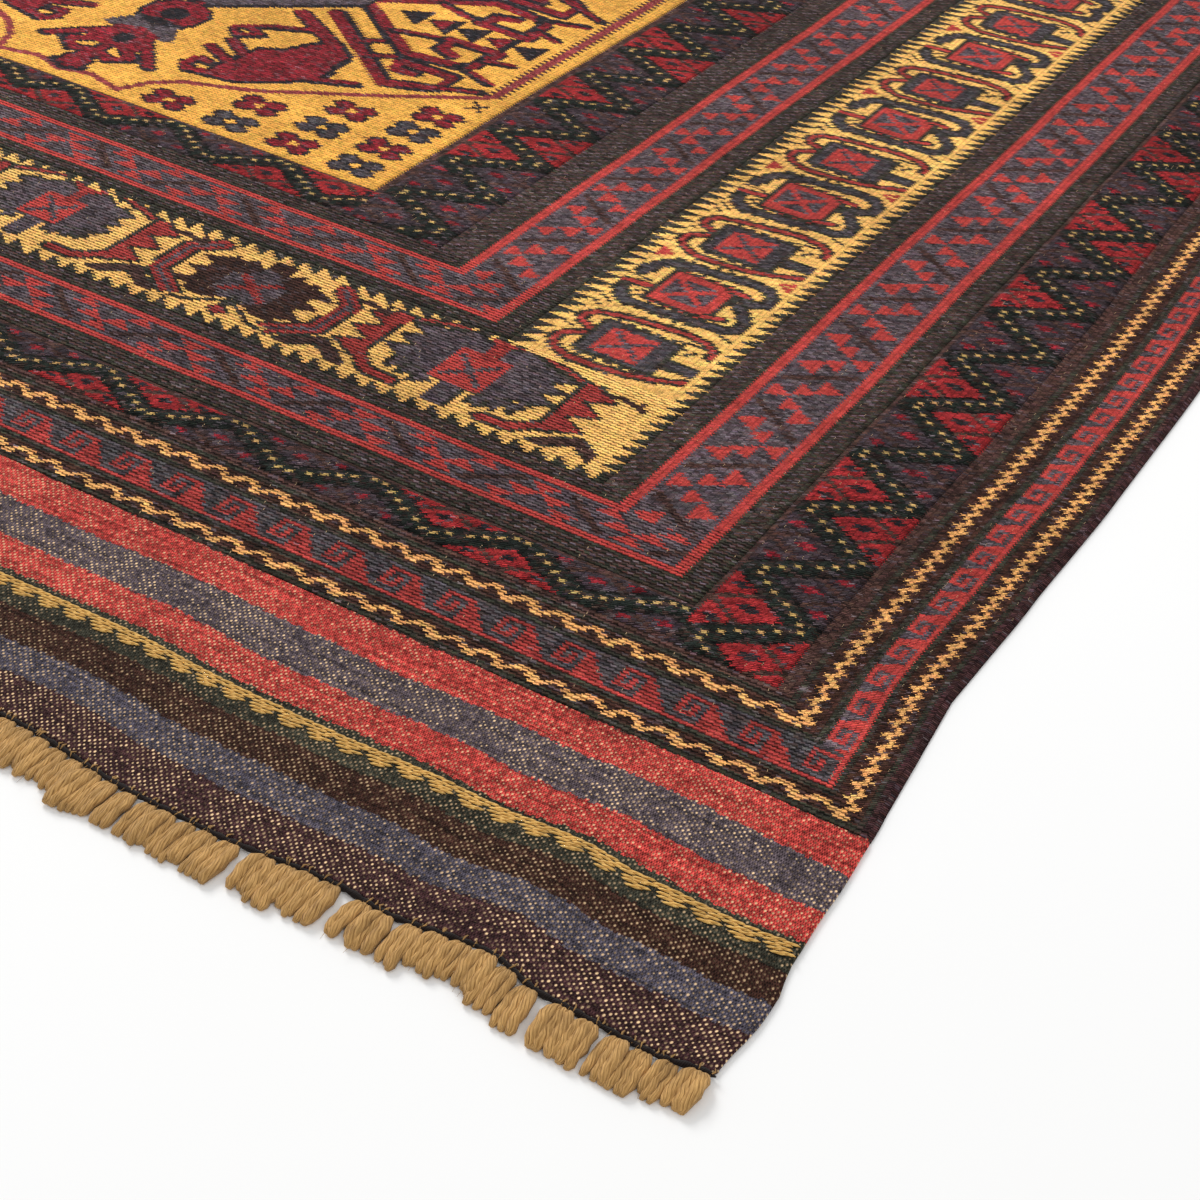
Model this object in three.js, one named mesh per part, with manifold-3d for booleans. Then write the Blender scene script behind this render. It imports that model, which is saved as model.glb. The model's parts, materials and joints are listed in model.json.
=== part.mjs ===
// A flat-woven wool rug, about 2 m by 3 m, lying flat. Millimetres, +Z up. The origin is on the floor
// under the middle of the rug; +X runs across the rug and +Y along it, away from the near end.
//
// Three solids: the cloth, one sheet with its raised bands, thinner plain-woven ends and uneven edges,
// and at each end a fringe, whose looped locks of warp grow out of a narrow twined cord.
import * as THREE from 'three';
import { mergeVertices } from 'three/addons/utils/BufferGeometryUtils.js';
import Module from 'manifold-3d';

const wasm = await Module();
wasm.setup();

// Bands of the body from the outer edge in to the field: how wide each one is along the long sides
// and along the short ends, and how thick the weave is there.
const BANDS = [
  { name: 'guard stripes', side: 98.1, end: 88.75, thick: 3.8 },
  { name: 'outer relief', side: 79.8, end: 42.6, thick: 5.4 },
  { name: 'outer stripes', side: 116.1, end: 85.2, thick: 4.3 },
  { name: 'main border', side: 152.25, end: 126.0, thick: 4.0 },
  { name: 'inner stripes', side: 120.4, end: 85.2, thick: 4.3 },
  { name: 'inner relief', side: 97.75, end: 49.7, thick: 5.2 },
];
const FIELD = { wide: 701.4, long: 1636.6, thick: 4.0 };
const SKIRT = { long: 198, thick: 2.6 };
const STEP_SLOPE = 6;
const TOUCHING_GAP = 0.3;

// The cord twined along each end, and the locks of looped warp that grow out of it.
const CORD = { wide: 5, thick: 3.6 };
const LOCK = {
  pitch: 13.6,
  pitchSpread: 1.6,
  wide: 10.6,
  long: 27,
  longSpread: 6,
  rootInCord: 2.5,
  rootThick: 3.2,
  bellyThick: 6,
  tipThick: 3,
  tipWide: 0.55,
  slant: 3.2,
};
const LOCKS_PER_END = 146;
const FIRST_LOCK = 7;
const LAST_LOCK_MARGIN = 5;

// Spots where the locks part, as distances in from the right-hand corner.
const PARTINGS = [
  { fromCorner: 60, wide: 3 },
  { fromCorner: 85, wide: 6 },
  { fromCorner: 178, wide: 4 },
  { fromCorner: 209, wide: 8 },
  { fromCorner: 264, wide: 8 },
  { fromCorner: 520, wide: 5 },
  { fromCorner: 806, wide: 7 },
  { fromCorner: 1180, wide: 5 },
  { fromCorner: 1554, wide: 8 },
  { fromCorner: 1830, wide: 4 },
];

// How far the long edge stands out from a straight line, by the distance from the end of the body.
// Negative distances are in the plain-woven end, and a negative amount is drawn in.
const LONG_EDGE = [
  { at: -198, out: 12 },
  { at: -156, out: 16 },
  { at: -140, out: 15.5 },
  { at: -110, out: 10.5 },
  { at: -55, out: 9 },
  { at: 0, out: 6 },
  { at: 60, out: 1 },
  { at: 143, out: -5 },
  { at: 270, out: -0.5 },
  { at: 420, out: 4 },
  { at: 590, out: 5.5 },
  { at: 900, out: -1.5 },
  { at: 1295, out: 2 },
];

// How far the short end stands out, by the distance in from the corner of the body.
const SHORT_EDGE = [
  { at: -16, out: 2 },
  { at: 5, out: 2 },
  { at: 30, out: 6.5 },
  { at: 90, out: 4.5 },
  { at: 127, out: -5 },
  { at: 185, out: 2.5 },
  { at: 215, out: 0 },
  { at: 300, out: 6.5 },
  { at: 345, out: 6.5 },
  { at: 446, out: -2 },
  { at: 640, out: 4 },
  { at: 820, out: -3 },
  { at: 1015, out: 2 },
];

// The photo's corner is the near right one. The others are the same edges, eased by these amounts.
const EASE = { near: { right: 1, left: 0.6 }, far: { right: -0.5, left: 0.8 } };
const EDGE_PULL = 170;
const EASE_FADE = 120;

const GRID_STEP = { across: 70, along: 100 };

const bandTotal = (key) => BANDS.reduce((sum, band) => sum + band[key], 0);
const BODY_HALF = {
  wide: FIELD.wide / 2 + bandTotal('side'),
  long: FIELD.long / 2 + bandTotal('end'),
};
const CLOTH_HALF_LONG = BODY_HALF.long + SKIRT.long;

const clamp01 = (t) => Math.min(1, Math.max(0, t));
const smooth = (t) => t * t * (3 - 2 * t);
const mix = (a, b, t) => a + (b - a) * t;

// A repeatable number from 0 to 1 for a lock and a purpose.
function unevenness(index, purpose) {
  const wave = Math.sin(index * 12.9898 + purpose * 78.233) * 43758.5453;
  return wave - Math.floor(wave);
}

// Reads an edge table with a smooth step between its rows.
function readEdge(table, at) {
  if (at <= table[0].at) return table[0].out;
  for (let row = 1; row < table.length; row += 1) {
    const low = table[row - 1];
    const high = table[row];
    if (at <= high.at) return mix(low.out, high.out, smooth((at - low.at) / (high.at - low.at)));
  }
  return table[table.length - 1].out;
}

function ease(x, y) {
  const end = y < 0 ? EASE.near : EASE.far;
  return mix(end.left, end.right, smooth(clamp01(0.5 + x / BODY_HALF.wide)));
}

// Moves a point of the straight layout to where it lies in the uneven cloth. The edges' own shifts
// fade out inside the body.
function place(x, y) {
  const fromEnd = BODY_HALF.long - Math.abs(y);
  const fromSide = BODY_HALF.wide - Math.abs(x);
  const sideWeight = smooth(clamp01(1 - fromSide / EDGE_PULL));
  const endWeight = clamp01(-fromEnd / SKIRT.long);
  const eased = ease(x, y);
  const sideEase = mix(1, eased, smooth(clamp01(fromEnd / EASE_FADE)));
  const out = readEdge(LONG_EDGE, fromEnd) * sideWeight * sideEase;
  const down = readEdge(SHORT_EDGE, fromSide) * endWeight * eased;
  return [x + Math.sign(x) * out, y + Math.sign(y) * down];
}

function thicknessAt(x, y) {
  let fromSide = BODY_HALF.wide - Math.abs(x);
  let fromEnd = BODY_HALF.long - Math.abs(y);
  if (fromEnd < 0) return mix(BANDS[0].thick, SKIRT.thick, clamp01(-fromEnd / STEP_SLOPE));
  for (const band of BANDS) {
    if (fromSide < band.side || fromEnd < band.end) return band.thick;
    fromSide -= band.side;
    fromEnd -= band.end;
  }
  return FIELD.thick;
}

// Grid lines for one half of the rug: two close to each other where the thickness steps, and even
// ones between them.
function halfLines(key, reach, longestStep) {
  const lines = [0];
  const steps = [];
  let edge = reach;
  for (const band of BANDS) {
    edge -= band[key];
    steps.push(edge - STEP_SLOPE / 2, edge + STEP_SLOPE / 2);
  }
  steps.push(reach);
  steps.sort((a, b) => a - b);
  for (const next of steps) {
    const from = lines[lines.length - 1];
    const parts = Math.ceil((next - from) / longestStep);
    for (let part = 1; part <= parts; part += 1) lines.push(from + ((next - from) * part) / parts);
  }
  return lines;
}

function bothHalves(lines) {
  const mirrored = lines.slice(1).reverse().map((line) => -line);
  return [...mirrored, ...lines];
}

function skirtLines() {
  const parts = 4;
  const lines = [BODY_HALF.long + STEP_SLOPE];
  for (let part = 1; part <= parts; part += 1) {
    lines.push(mix(BODY_HALF.long + STEP_SLOPE, CLOTH_HALF_LONG, part / parts));
  }
  return lines;
}

const ACROSS = bothHalves(halfLines('side', BODY_HALF.wide, GRID_STEP.across));
const ALONG = bothHalves([...halfLines('end', BODY_HALF.long, GRID_STEP.along), ...skirtLines()]);

function closedMesh(positions, triangles) {
  const geometry = new THREE.BufferGeometry();
  geometry.setAttribute('position', new THREE.Float32BufferAttribute(positions, 3));
  geometry.setIndex(triangles);
  return mergeVertices(geometry, 1e-4);
}

// The sheet: a grid of points on top, a rim, and a flat underside cut from the same outline.
function clothGeometry() {
  const wide = ACROSS.length;
  const long = ALONG.length;
  const positions = [];
  const triangles = [];
  for (const y of ALONG) {
    for (const x of ACROSS) {
      const [px, py] = place(x, y);
      positions.push(px, py, thicknessAt(x, y));
    }
  }
  const at = (column, row) => row * wide + column;
  for (let row = 0; row < long - 1; row += 1) {
    for (let column = 0; column < wide - 1; column += 1) {
      const corners = [at(column, row), at(column + 1, row), at(column + 1, row + 1), at(column, row + 1)];
      triangles.push(corners[0], corners[1], corners[2], corners[0], corners[2], corners[3]);
    }
  }
  const rim = [];
  for (let column = 0; column < wide - 1; column += 1) rim.push(at(column, 0));
  for (let row = 0; row < long - 1; row += 1) rim.push(at(wide - 1, row));
  for (let column = wide - 1; column > 0; column -= 1) rim.push(at(column, long - 1));
  for (let row = long - 1; row > 0; row -= 1) rim.push(at(0, row));
  const underside = positions.length / 3;
  const outline = rim.map((index) => new THREE.Vector2(positions[3 * index], positions[3 * index + 1]));
  for (const point of outline) positions.push(point.x, point.y, 0);
  rim.forEach((index, step) => {
    const next = (step + 1) % rim.length;
    triangles.push(index, underside + step, underside + next);
    triangles.push(index, underside + next, rim[next]);
  });
  for (const [a, b, c] of THREE.ShapeUtils.triangulateShape(outline, [])) {
    triangles.push(underside + a, underside + c, underside + b);
  }
  return closedMesh(positions, triangles);
}

// Joins sections of four points each, given in order, into one closed solid.
function solidThrough(sections) {
  const positions = sections.flat(2);
  const triangles = [];
  const sides = 4;
  for (let section = 0; section < sections.length - 1; section += 1) {
    for (let side = 0; side < sides; side += 1) {
      const here = section * sides + side;
      const beside = section * sides + ((side + 1) % sides);
      triangles.push(here, beside, beside + sides, here, beside + sides, here + sides);
    }
  }
  const last = (sections.length - 1) * sides;
  triangles.push(0, 2, 1, 0, 3, 2);
  triangles.push(last, last + 1, last + 2, last, last + 2, last + 3);
  return closedMesh(positions, triangles);
}

function toManifold(geometry) {
  const mesh = new wasm.Mesh({
    numProp: 3,
    vertProperties: Float32Array.from(geometry.getAttribute('position').array),
    triVerts: Uint32Array.from(geometry.getIndex().array),
  });
  return new wasm.Manifold(mesh);
}

function toGeometry(solid) {
  const mesh = solid.getMesh();
  return closedMesh(Array.from(mesh.vertProperties), Array.from(mesh.triVerts));
}

// The line of the cloth's end at a distance across, a step outward from the cloth. It is straight
// between the grid lines, as the cloth's rim is.
function endLine(x, end, outward) {
  const y = end * CLOTH_HALF_LONG;
  const next = Math.max(1, ACROSS.findIndex((line) => line >= x));
  const [lowX, lowY] = place(ACROSS[next - 1], y);
  const [highX, highY] = place(ACROSS[next], y);
  const t = (x - ACROSS[next - 1]) / (ACROSS[next] - ACROSS[next - 1]);
  return [mix(lowX, highX, t), mix(lowY, highY, t) + end * outward];
}

// The cord's strip: four-sided sections carried along the cloth's end. It runs from left to right at
// the near end and back at the far one, so that its faces point out at both.
function cordSolid(end) {
  const path = end < 0 ? ACROSS : [...ACROSS].reverse();
  const sections = path.map((x) => {
    const [px, inner] = endLine(x, end, TOUCHING_GAP);
    const outer = inner + end * CORD.wide;
    return [
      [px, inner, 0],
      [px, inner, CORD.thick],
      [px, outer, CORD.thick],
      [px, outer, 0],
    ];
  });
  return toManifold(solidThrough(sections));
}

// Where each lock leaves the cord, as distances in from the right-hand corner.
function lockStations() {
  const stations = [];
  let at = FIRST_LOCK;
  let parting = 0;
  while (at < 2 * BODY_HALF.wide - LAST_LOCK_MARGIN && stations.length < LOCKS_PER_END) {
    stations.push(at);
    at += LOCK.pitch + LOCK.pitchSpread * (unevenness(stations.length, 1) - 0.5);
    if (parting < PARTINGS.length && at > PARTINGS[parting].fromCorner) {
      at += PARTINGS[parting].wide;
      parting += 1;
    }
  }
  return stations;
}

// A lock is a loop of thick plied warp, laid flat: a narrow root in the cord, a fuller belly and a
// rounded end, all resting on the floor.
function lockSolid(station, index, end) {
  const x = BODY_HALF.wide - station;
  const [rootX, inner] = endLine(x, end, TOUCHING_GAP + CORD.wide - LOCK.rootInCord);
  const long = LOCK.long + LOCK.longSpread * (unevenness(index, 2) - 0.5) + LOCK.rootInCord;
  const slant = LOCK.slant * (unevenness(index, 3) - 0.5);
  const stretches = [
    { along: 0, wide: 0.72, thick: LOCK.rootThick, drift: 0 },
    { along: 0.55, wide: 1, thick: LOCK.bellyThick, drift: 0.4 },
    { along: 1, wide: LOCK.tipWide, thick: LOCK.tipThick, drift: 1 },
  ];
  const sections = stretches.map((stretch) => {
    const px = rootX + slant * stretch.drift;
    const py = inner + end * long * stretch.along;
    const half = (LOCK.wide * stretch.wide) / 2;
    const slope = 0.7;
    return [
      [px + end * half, py, 0],
      [px - end * half, py, 0],
      [px - end * half * slope, py, stretch.thick],
      [px + end * half * slope, py, stretch.thick],
    ];
  });
  return toManifold(solidThrough(sections));
}

function fringeGeometry(end) {
  const seed = end < 0 ? 0 : LOCKS_PER_END;
  let fringe = cordSolid(end);
  lockStations().forEach((station, index) => {
    fringe = fringe.add(lockSolid(station, index + seed, end));
  });
  return toGeometry(fringe);
}

// Materials: dyed wool for the cloth, undyed camel-coloured wool for the warps.
const dyedWool = () => new THREE.MeshStandardMaterial({ color: 0x4a2226, roughness: 0.95, metalness: 0 });
const warpWool = () => new THREE.MeshStandardMaterial({ color: 0xb98a4f, roughness: 0.95, metalness: 0 });

const rug = new THREE.Group();

function addPiece(name, geometry, material) {
  const piece = new THREE.Mesh(geometry, material);
  piece.name = name;
  rug.add(piece);
}

addPiece('cloth', clothGeometry(), dyedWool());
addPiece('fringe_near', fringeGeometry(-1), warpWool());
addPiece('fringe_far', fringeGeometry(1), warpWool());

export default rug;
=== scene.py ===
"""A flat-woven wool rug of about 2 m by 3 m: stitched bands round a gold field, striped plain-woven
ends, twined end cords and looped warp fringes. The chart and layout are in millimetres, meshes in
metres."""

import json
from functools import partial

import bpy
import numpy as np
from mathutils import Matrix

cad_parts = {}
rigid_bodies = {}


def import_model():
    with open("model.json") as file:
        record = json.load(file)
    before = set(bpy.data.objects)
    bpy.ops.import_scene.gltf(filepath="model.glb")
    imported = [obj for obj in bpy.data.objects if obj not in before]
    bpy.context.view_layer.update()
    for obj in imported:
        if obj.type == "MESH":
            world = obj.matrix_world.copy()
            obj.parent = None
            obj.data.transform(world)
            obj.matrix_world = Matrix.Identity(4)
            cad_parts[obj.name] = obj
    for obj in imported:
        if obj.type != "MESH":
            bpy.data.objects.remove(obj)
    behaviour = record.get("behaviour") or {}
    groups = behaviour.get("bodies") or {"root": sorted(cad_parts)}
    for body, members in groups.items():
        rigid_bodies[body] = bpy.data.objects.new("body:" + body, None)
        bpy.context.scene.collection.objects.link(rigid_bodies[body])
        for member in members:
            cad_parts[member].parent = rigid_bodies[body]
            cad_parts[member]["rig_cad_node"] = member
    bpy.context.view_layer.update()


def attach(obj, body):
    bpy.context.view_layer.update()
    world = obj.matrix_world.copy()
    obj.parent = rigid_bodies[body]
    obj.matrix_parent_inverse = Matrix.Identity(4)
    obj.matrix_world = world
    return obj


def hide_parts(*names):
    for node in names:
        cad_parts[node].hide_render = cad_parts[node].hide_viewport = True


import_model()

bl_info = {
    "name": "Kilim rug",
    "version": (1, 0, 0),
    "blender": (4, 5, 0),
    "location": "3D View > Sidebar > Rug",
    "description": "Makes a flat-woven rug piece by piece round its packed frame",
    "category": "Object",
}

MM = 0.001

# A stroke of yarn is this long along the warp, and a quad of the mesh holds two of them.
STROKE = 1.775

# Bands of the body from the outer edge in: name, stitches across and their width on the long sides,
# strokes of yarn along at the ends, and how thick the weave is.
BANDS = [
    ("guard", 28, 3.503, 50, 3.8),
    ("outer_relief", 19, 4.2, 24, 3.7),
    ("outer_stripes", 27, 4.3, 48, 4.3),
    ("main_border", 35, 4.35, 70, 4.0),
    ("inner_stripes", 28, 4.3, 48, 4.3),
    ("inner_relief", 23, 4.25, 28, 3.7),
    ("field", 82, 350.7 / 82, 462, 4.0),
]

# The guard band in detail: yarn, stitches across, their width, and strokes along at the ends. Hooks and
# zigzags are drawn over it.
GUARD = [
    ("plum", 2, 3.75, 0),
    ("green", 1, 3.6, 3),
    ("brown", 1, 3.1, 0),
    ("brown", 4, 3.05, 6),
    ("brown", 1, 4.6, 2),
    ("green", 1, 3.8, 3),
    ("slate", 5, 3.84, 18),
    ("green", 2, 2.9, 3),
    ("brown", 2, 2.85, 1),
    ("brown", 4, 3.15, 7),
    ("brown", 1, 4.4, 1),
    ("green", 1, 4.4, 3),
    ("umber", 3, 3.73, 3),
]

# Small repeats charted stroke by stroke: R red, S slate. Side lines run along the edge and their
# letters inward; end lines run inward and their letters toward the corner. Both lie on line HOOKS of
# GUARD. The side one starts HOOK_LEAD along, and a letter of the end one is HOOK_WIDE.
HOOKS = 6
HOOK_LEAD = 128
HOOK_WIDE = 4.2
SIDE_HOOK = """
RSRRR RSRRR RSRSR RSRSR RSRSR RSRSR RSRSR RSSSR RSSSR
RRRRR RRRRR RRRRR RRRRS RRRSS RRRSS RRSSS RSSSS RSSSS"""
END_HOOK = """
RRRRRRRRRR RRRRRRRRRR SSSSSRRRRR SSSSSRRRRR SSSSSRRRRS SRRRSRRRRS SRRRSRRRRS SRSRSRRRSS SRSRSRRRSS
SRSRSRRRSS SRSRSRRSSS SRSRSRRSSS SRSSSRRSSS SRSSSRSSSS SRRRRRSSSS SRRRRRSSSS SSSSSSSSSS SSSSSSSSSS"""
# Gold zigzags: GUARD's line, strokes high at the ends, then lead and pitch along the sides and along
# the ends.
ZIGZAGS = [(3, 6, 121, 12.9, 159, 24.5), (9, 7, 112, 13.6, 168, 24.5)]

# Relief bands: the width that their drawing gives a stitch, half the width of the raised ribbon, how far
# the painted shade beside it reaches, and how many straw dots each run of it has.
RELIEF_STITCH = 4.2
RIBBON_HALF = 8.7
RIBBON_SHADE_REACH = 1.6
DOTS = 6

# The main border: strokes of yarn in a row of teeth at the ends, how many frames there are up a side, and
# where the frames and the medallions lie, in from the body's corner.
TOOTH_ROWS = 8
FRAMES = 10
FRAME_FIRST = 388.0
FRAME_PITCH = 101.3
MEDALLION_FOOT = 230.0
MEDALLIONS = [(445, "slate"), (642.5, "brown"), (840, "slate"), (1015, "brown")]

# The field: its long axis, the line that its figures are drawn about, the stripe up its side, and the
# pitches of its rosettes and diamonds.
LONG_AXIS = 1015.1
FIGURE_LINE = 805
SIDE_STRIPE = 685.5
ROSETTE_PITCH = 66
DIAMOND_PITCH = 90

# The plain-woven ends past the body: which way along y each lies, and their length. They are a little
# thicker than the ground under the bands, whose own hidden undersides lie at SUNK, or at
# GUARD_SUNK for the outermost.
ENDS = [(-1, "near"), (1, "far")]
SKIRT = 198.0
SKIRT_THICK = 2.6
GROUND_THICK = 2.2
SUNK = 1.6
GUARD_SUNK = 0.3

# The underside of a band has this many points a side, and the map for baking leaves this margin.
WALL_PIECES = 36
BAKE_MARGIN = 30
# The seed of the yarns' random shades.
SEED = 11

# How far the long edge stands out from a straight line, by the distance from the end of the body, and
# how far the short end does, by the distance in from the corner of the body: distance, amount.
LONG_EDGE = [(-198, 12), (-156, 16), (-140, 15.5), (-110, 10.5), (-55, 9), (0, 6), (60, 1), (143, -5),
             (270, -0.5), (420, 4), (590, 5.5), (900, -1.5), (1295, 2)]
SHORT_EDGE = [(-16, 2), (5, 2), (30, 6.5), (90, 4.5), (127, -5), (185, 2.5), (215, 0), (300, 6.5),
              (345, 6.5), (446, -2), (640, 4), (820, -3), (1015, 2)]

# How strongly the left and the right corner of each end follow those tables, how far in the edge pulls
# the cloth along, and over what length the ends' difference fades.
EASE = {"near": (0.6, 1.0), "far": (0.8, -0.5)}
EDGE_PULL = 170.0
EASE_FADE = 120.0

# Stripes of the plain-woven end, from the body outward: yarn, where it stops, and how much of the warp
# shows. The first lies under the stitched body, SKIRT_LEAD of it.
SKIRT_STRIPES = [("umber", 0, 0), ("weft_red", 31, 0.75), ("slate", 65, 1.0), ("weft_red", 92, 0.75),
                 ("green", 117, 0.55), ("brown", 142, 0.55), ("dusk", 168, 0.72), ("plum", 198, 1.0)]
SKIRT_LEAD = 14.0
# Spacing of the warps, and of the beads of weft over them.
WARP_PITCH = 2.13
WEFT_PITCH = 4.3

# Rims of the ground cloth: distance in from the edge, and the heights of its top and underside as
# shares of its thickness.
RIM = (0, 0.7, 1.8, 4)
RIM_TOP = (0.45, 0.8, 0.96, 1)
RIM_BOTTOM = (0.45, 0.14, 0.02, 0)

# Chain stitches on the plain end, outward from the body: whole rows as where they lie, where they begin
# and their pitch, and rows of teeth as where they lie and their places in each tooth.
CHAIN_PITCH = 20.5
CHAIN_ROWS = [(98.0, 0.0, 7.4), (100.5, 3.7, 7.4)]
CHAIN_TEETH = [(103.0, (-5.4, 1.6)), (105.4, (-3.0, 4.2)), (107.6, (0.4,))]

# The end cord: how far it runs while its two lobes make half a turn, and the length of a section.
CORD_TURN = 9.5
CORD_STEP = 2.4

# Locks of looped warp along each end, at most LOCKS_PER_END. They part here and there: distance from
# the right corner, how wide.
LOCK_PITCH = 13.6
LOCK_PITCH_SPREAD = 1.6
LOCK_LONG_SPREAD = 6.0
LOCK_SLANT = 3.2
LOCKS_PER_END = 146
PARTINGS = [(60, 3), (85, 6), (178, 4), (209, 8), (264, 8), (520, 5), (806, 7), (1180, 5), (1554, 8),
            (1830, 4)]
# Each lock has plies and loose hairs. A ply's sections: share of its length, and of its full radius.
PLIES = 3
HAIRS = 5
LOCK_ALONG = np.array([0.0, 0.07, 0.2, 0.38, 0.56, 0.74, 0.91, 1.0])
LOCK_RADIUS = np.array([0.42, 0.72, 0.98, 1.0, 1.04, 1.02, 0.96, 0.55])

# The photograph's view: where the camera stands in metres, its right and up directions, and its lens.
CAMERA_AT = (1.2787, -2.1909, 0.834)
CAMERA_RIGHT = (0.8616, 0.4999, 0.0878)
CAMERA_UP = (-0.3621, 0.4842, 0.7966)
CAMERA_LENS = 65.7
# Soft lamps: name, place, side and power. They point at LAMP_AIM, near the corner that the photo shows.
LAMPS = [("key", (-2.6, 1.2, 2.6), 1.8, 150.0), ("fill", (3.0, -3.2, 3.4), 3.2, 40.0)]
LAMP_AIM = (0.6, -1.0, 0)
# Strength of the white sky, and how far below the rug the floor lies.
SKY = 0.58
FLOOR_Z = -0.0004

# Colours of the dyed yarns, and the one that rims the motifs. The black one is no yarn but painted shade
# beside the relief ribbons.
YARNS = dict(
    plum="#3f2829", brown="#3a241d", green="#34332a", orange="#e9a865", red="#b2403b", slate="#554a4f",
    violet="#3b3136", deep_red="#8f2729", gold="#f2ba68", mauve="#87393a", crimson="#7c1e27",
    ink="#222024", straw="#b8955c", umber="#46302b", rust="#9c3a35", dusk="#4b4650", black="#110e0d",
    pile="#1c211d", weft_red="#b13f39", amber="#e2a54b", warp="#d6b68c", brick="#963632",
    coal="#454043")
RIM_YARN = "green"
NAMES = list(YARNS)
Y = {name: number for number, name in enumerate(NAMES)}


def linear(code):
    """sRGB hex to linear red, green, blue."""
    part = np.array([int(code[at:at + 2], 16) for at in (1, 3, 5)]) / 255
    light = np.where(part <= 0.04045, part / 12.92, ((part + 0.055) / 1.055) ** 2.4)
    return tuple(float(v) for v in light)


class RugSizes(bpy.types.PropertyGroup):
    """Sizes that can change without a new layout."""

    puff: bpy.props.FloatProperty(
        name="Triangle puff", description="How far the triangles of the relief bands stand up",
        default=0.0024, min=0, unit="LENGTH")
    ribbon: bpy.props.FloatProperty(
        name="Ribbon height", description="How far the zigzag ribbon of the relief bands stands up",
        default=0.0030, min=0, unit="LENGTH")
    stitch_depth: bpy.props.FloatProperty(
        name="Stitch depth", description="How deep the grooves between stitches are",
        default=0.0009, min=0, unit="LENGTH")
    lock_length: bpy.props.FloatProperty(
        name="Lock length", description="Mean length of a lock of the fringe past the end cord",
        default=0.030, min=0.005, unit="LENGTH")
    lock_width: bpy.props.FloatProperty(
        name="Lock width", description="Width of a lock of the fringe at its belly",
        default=0.0155, min=0.002, unit="LENGTH")
    cord_radius: bpy.props.FloatProperty(
        name="End cord radius", description="Half the thickness of the twined end cord",
        default=0.0018, min=0.0005, unit="LENGTH")
    floor_side: bpy.props.FloatProperty(
        name="Floor side", description="Side of the square floor of the stage",
        default=40.0, min=4, unit="LENGTH")


class RugYarns(bpy.types.PropertyGroup):
    """Colours of the dyed yarns, and of the painted shade beside the relief ribbons."""

    __annotations__ = {
        name: bpy.props.FloatVectorProperty(
            name=name.replace("_", " ").capitalize() + " yarn",
            description="Colour of the " + name.replace("_", " ") + " wool",
            subtype="COLOR", size=3, min=0, max=1, default=linear(code))
        for name, code in YARNS.items()
    }


def starts(counts):
    """Where each of several runs starts, and where the last one stops: running sums from 0."""
    return np.concatenate([[0], np.cumsum(counts)]).astype(int)


COL_START = starts([band[1] for band in BANDS])
ROW_START = starts([band[3] for band in BANDS])
WIDTHS = [[width] * many for _, many, width, _ in GUARD] + [[band[2]] * band[1] for band in BANDS[1:]]
COL_EDGE = np.concatenate([[0], np.cumsum(np.concatenate(WIDTHS))])
ROW_EDGE = np.arange(ROW_START[-1] + 1) * STROKE
COLS, ROWS = int(COL_START[-1]), int(ROW_START[-1])
HALF_WIDE = float(COL_EDGE[-1])
HALF_LONG = float(ROW_EDGE[-1])
CLOTH_LONG = HALF_LONG + SKIRT


def clamp01(t):
    """t held between 0 and 1."""
    return np.clip(t, 0, 1)


def smooth(t):
    """The cubic from 0 to 1 that is level at both ends."""
    return t * t * (3 - 2 * t)


def unevenness(index, purpose):
    """A repeatable number from 0 to 1: the fraction of a large sine."""
    wave = np.sin(np.asarray(index) * 12.9898 + purpose * 78.233) * 43758.5453
    return wave - np.floor(wave)


def read_edge(table, at):
    """An edge table read with a smooth step between its rows, and held past its ends."""
    where, out = np.array(table, float).T
    low = np.clip(np.searchsorted(where, at, side="right") - 1, 0, len(where) - 2)
    t = smooth(clamp01((at - where[low]) / (where[low + 1] - where[low])))
    return out[low] + (out[low + 1] - out[low]) * t


def place(x, y):
    """Where a point of the straight layout lies in the uneven cloth: it is pushed out by the edge
    tables, whose pull fades inside the body."""
    from_end = HALF_LONG - np.abs(y)
    from_side = HALF_WIDE - np.abs(x)
    side_weight = smooth(clamp01(1 - from_side / EDGE_PULL))
    end_weight = clamp01(-from_end / SKIRT)
    across = smooth(clamp01(0.5 + x / HALF_WIDE))
    near, far = (left + (right - left) * across for left, right in (EASE["near"], EASE["far"]))
    eased = np.where(y < 0, near, far)
    side_ease = 1 + (eased - 1) * smooth(clamp01(from_end / EASE_FADE))
    out = read_edge(LONG_EDGE, from_end) * side_weight * side_ease
    down = read_edge(SHORT_EDGE, from_side) * end_weight * eased
    return x + np.sign(x) * out, y + np.sign(y) * down


def ripple(x, y):
    """Slow waves of a handmade cloth, from -1 to 1: a product of sines of mixed lengths."""
    return (np.sin(x / 61 + 0.8 * np.sin(y / 97) + 1.3) * np.sin(y / 83 + 0.7 * np.sin(x / 71) + 0.4)
            + 0.5 * np.sin(x / 29 + y / 41 + 2.1) * np.sin(y / 37 - x / 53)) / 1.5


class Chart:
    """A quarter of the body as a grid of stitches: a yarn number and a lift in mm for each."""

    def __init__(self):
        self.x = np.broadcast_to((COL_EDGE[:-1] + COL_EDGE[1:]) / 2, (ROWS, COLS))
        self.y = np.broadcast_to(((ROW_EDGE[:-1] + ROW_EDGE[1:]) / 2)[:, None], (ROWS, COLS))
        self.c = np.broadcast_to(np.arange(COLS), (ROWS, COLS))
        self.r = np.broadcast_to(np.arange(ROWS)[:, None], (ROWS, COLS))
        self.yarn = np.full((ROWS, COLS), Y["gold"], np.int16)
        self.lift = np.zeros((ROWS, COLS))

    def inner(self, col, row, yarn):
        """Fills all that lies inward of a column and a row."""
        self.yarn[row:, col:] = Y[yarn]

    def paint(self, mask, yarn):
        """Gives the masked stitches of the whole quarter a yarn."""
        self.yarn[mask] = Y[yarn]


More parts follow.
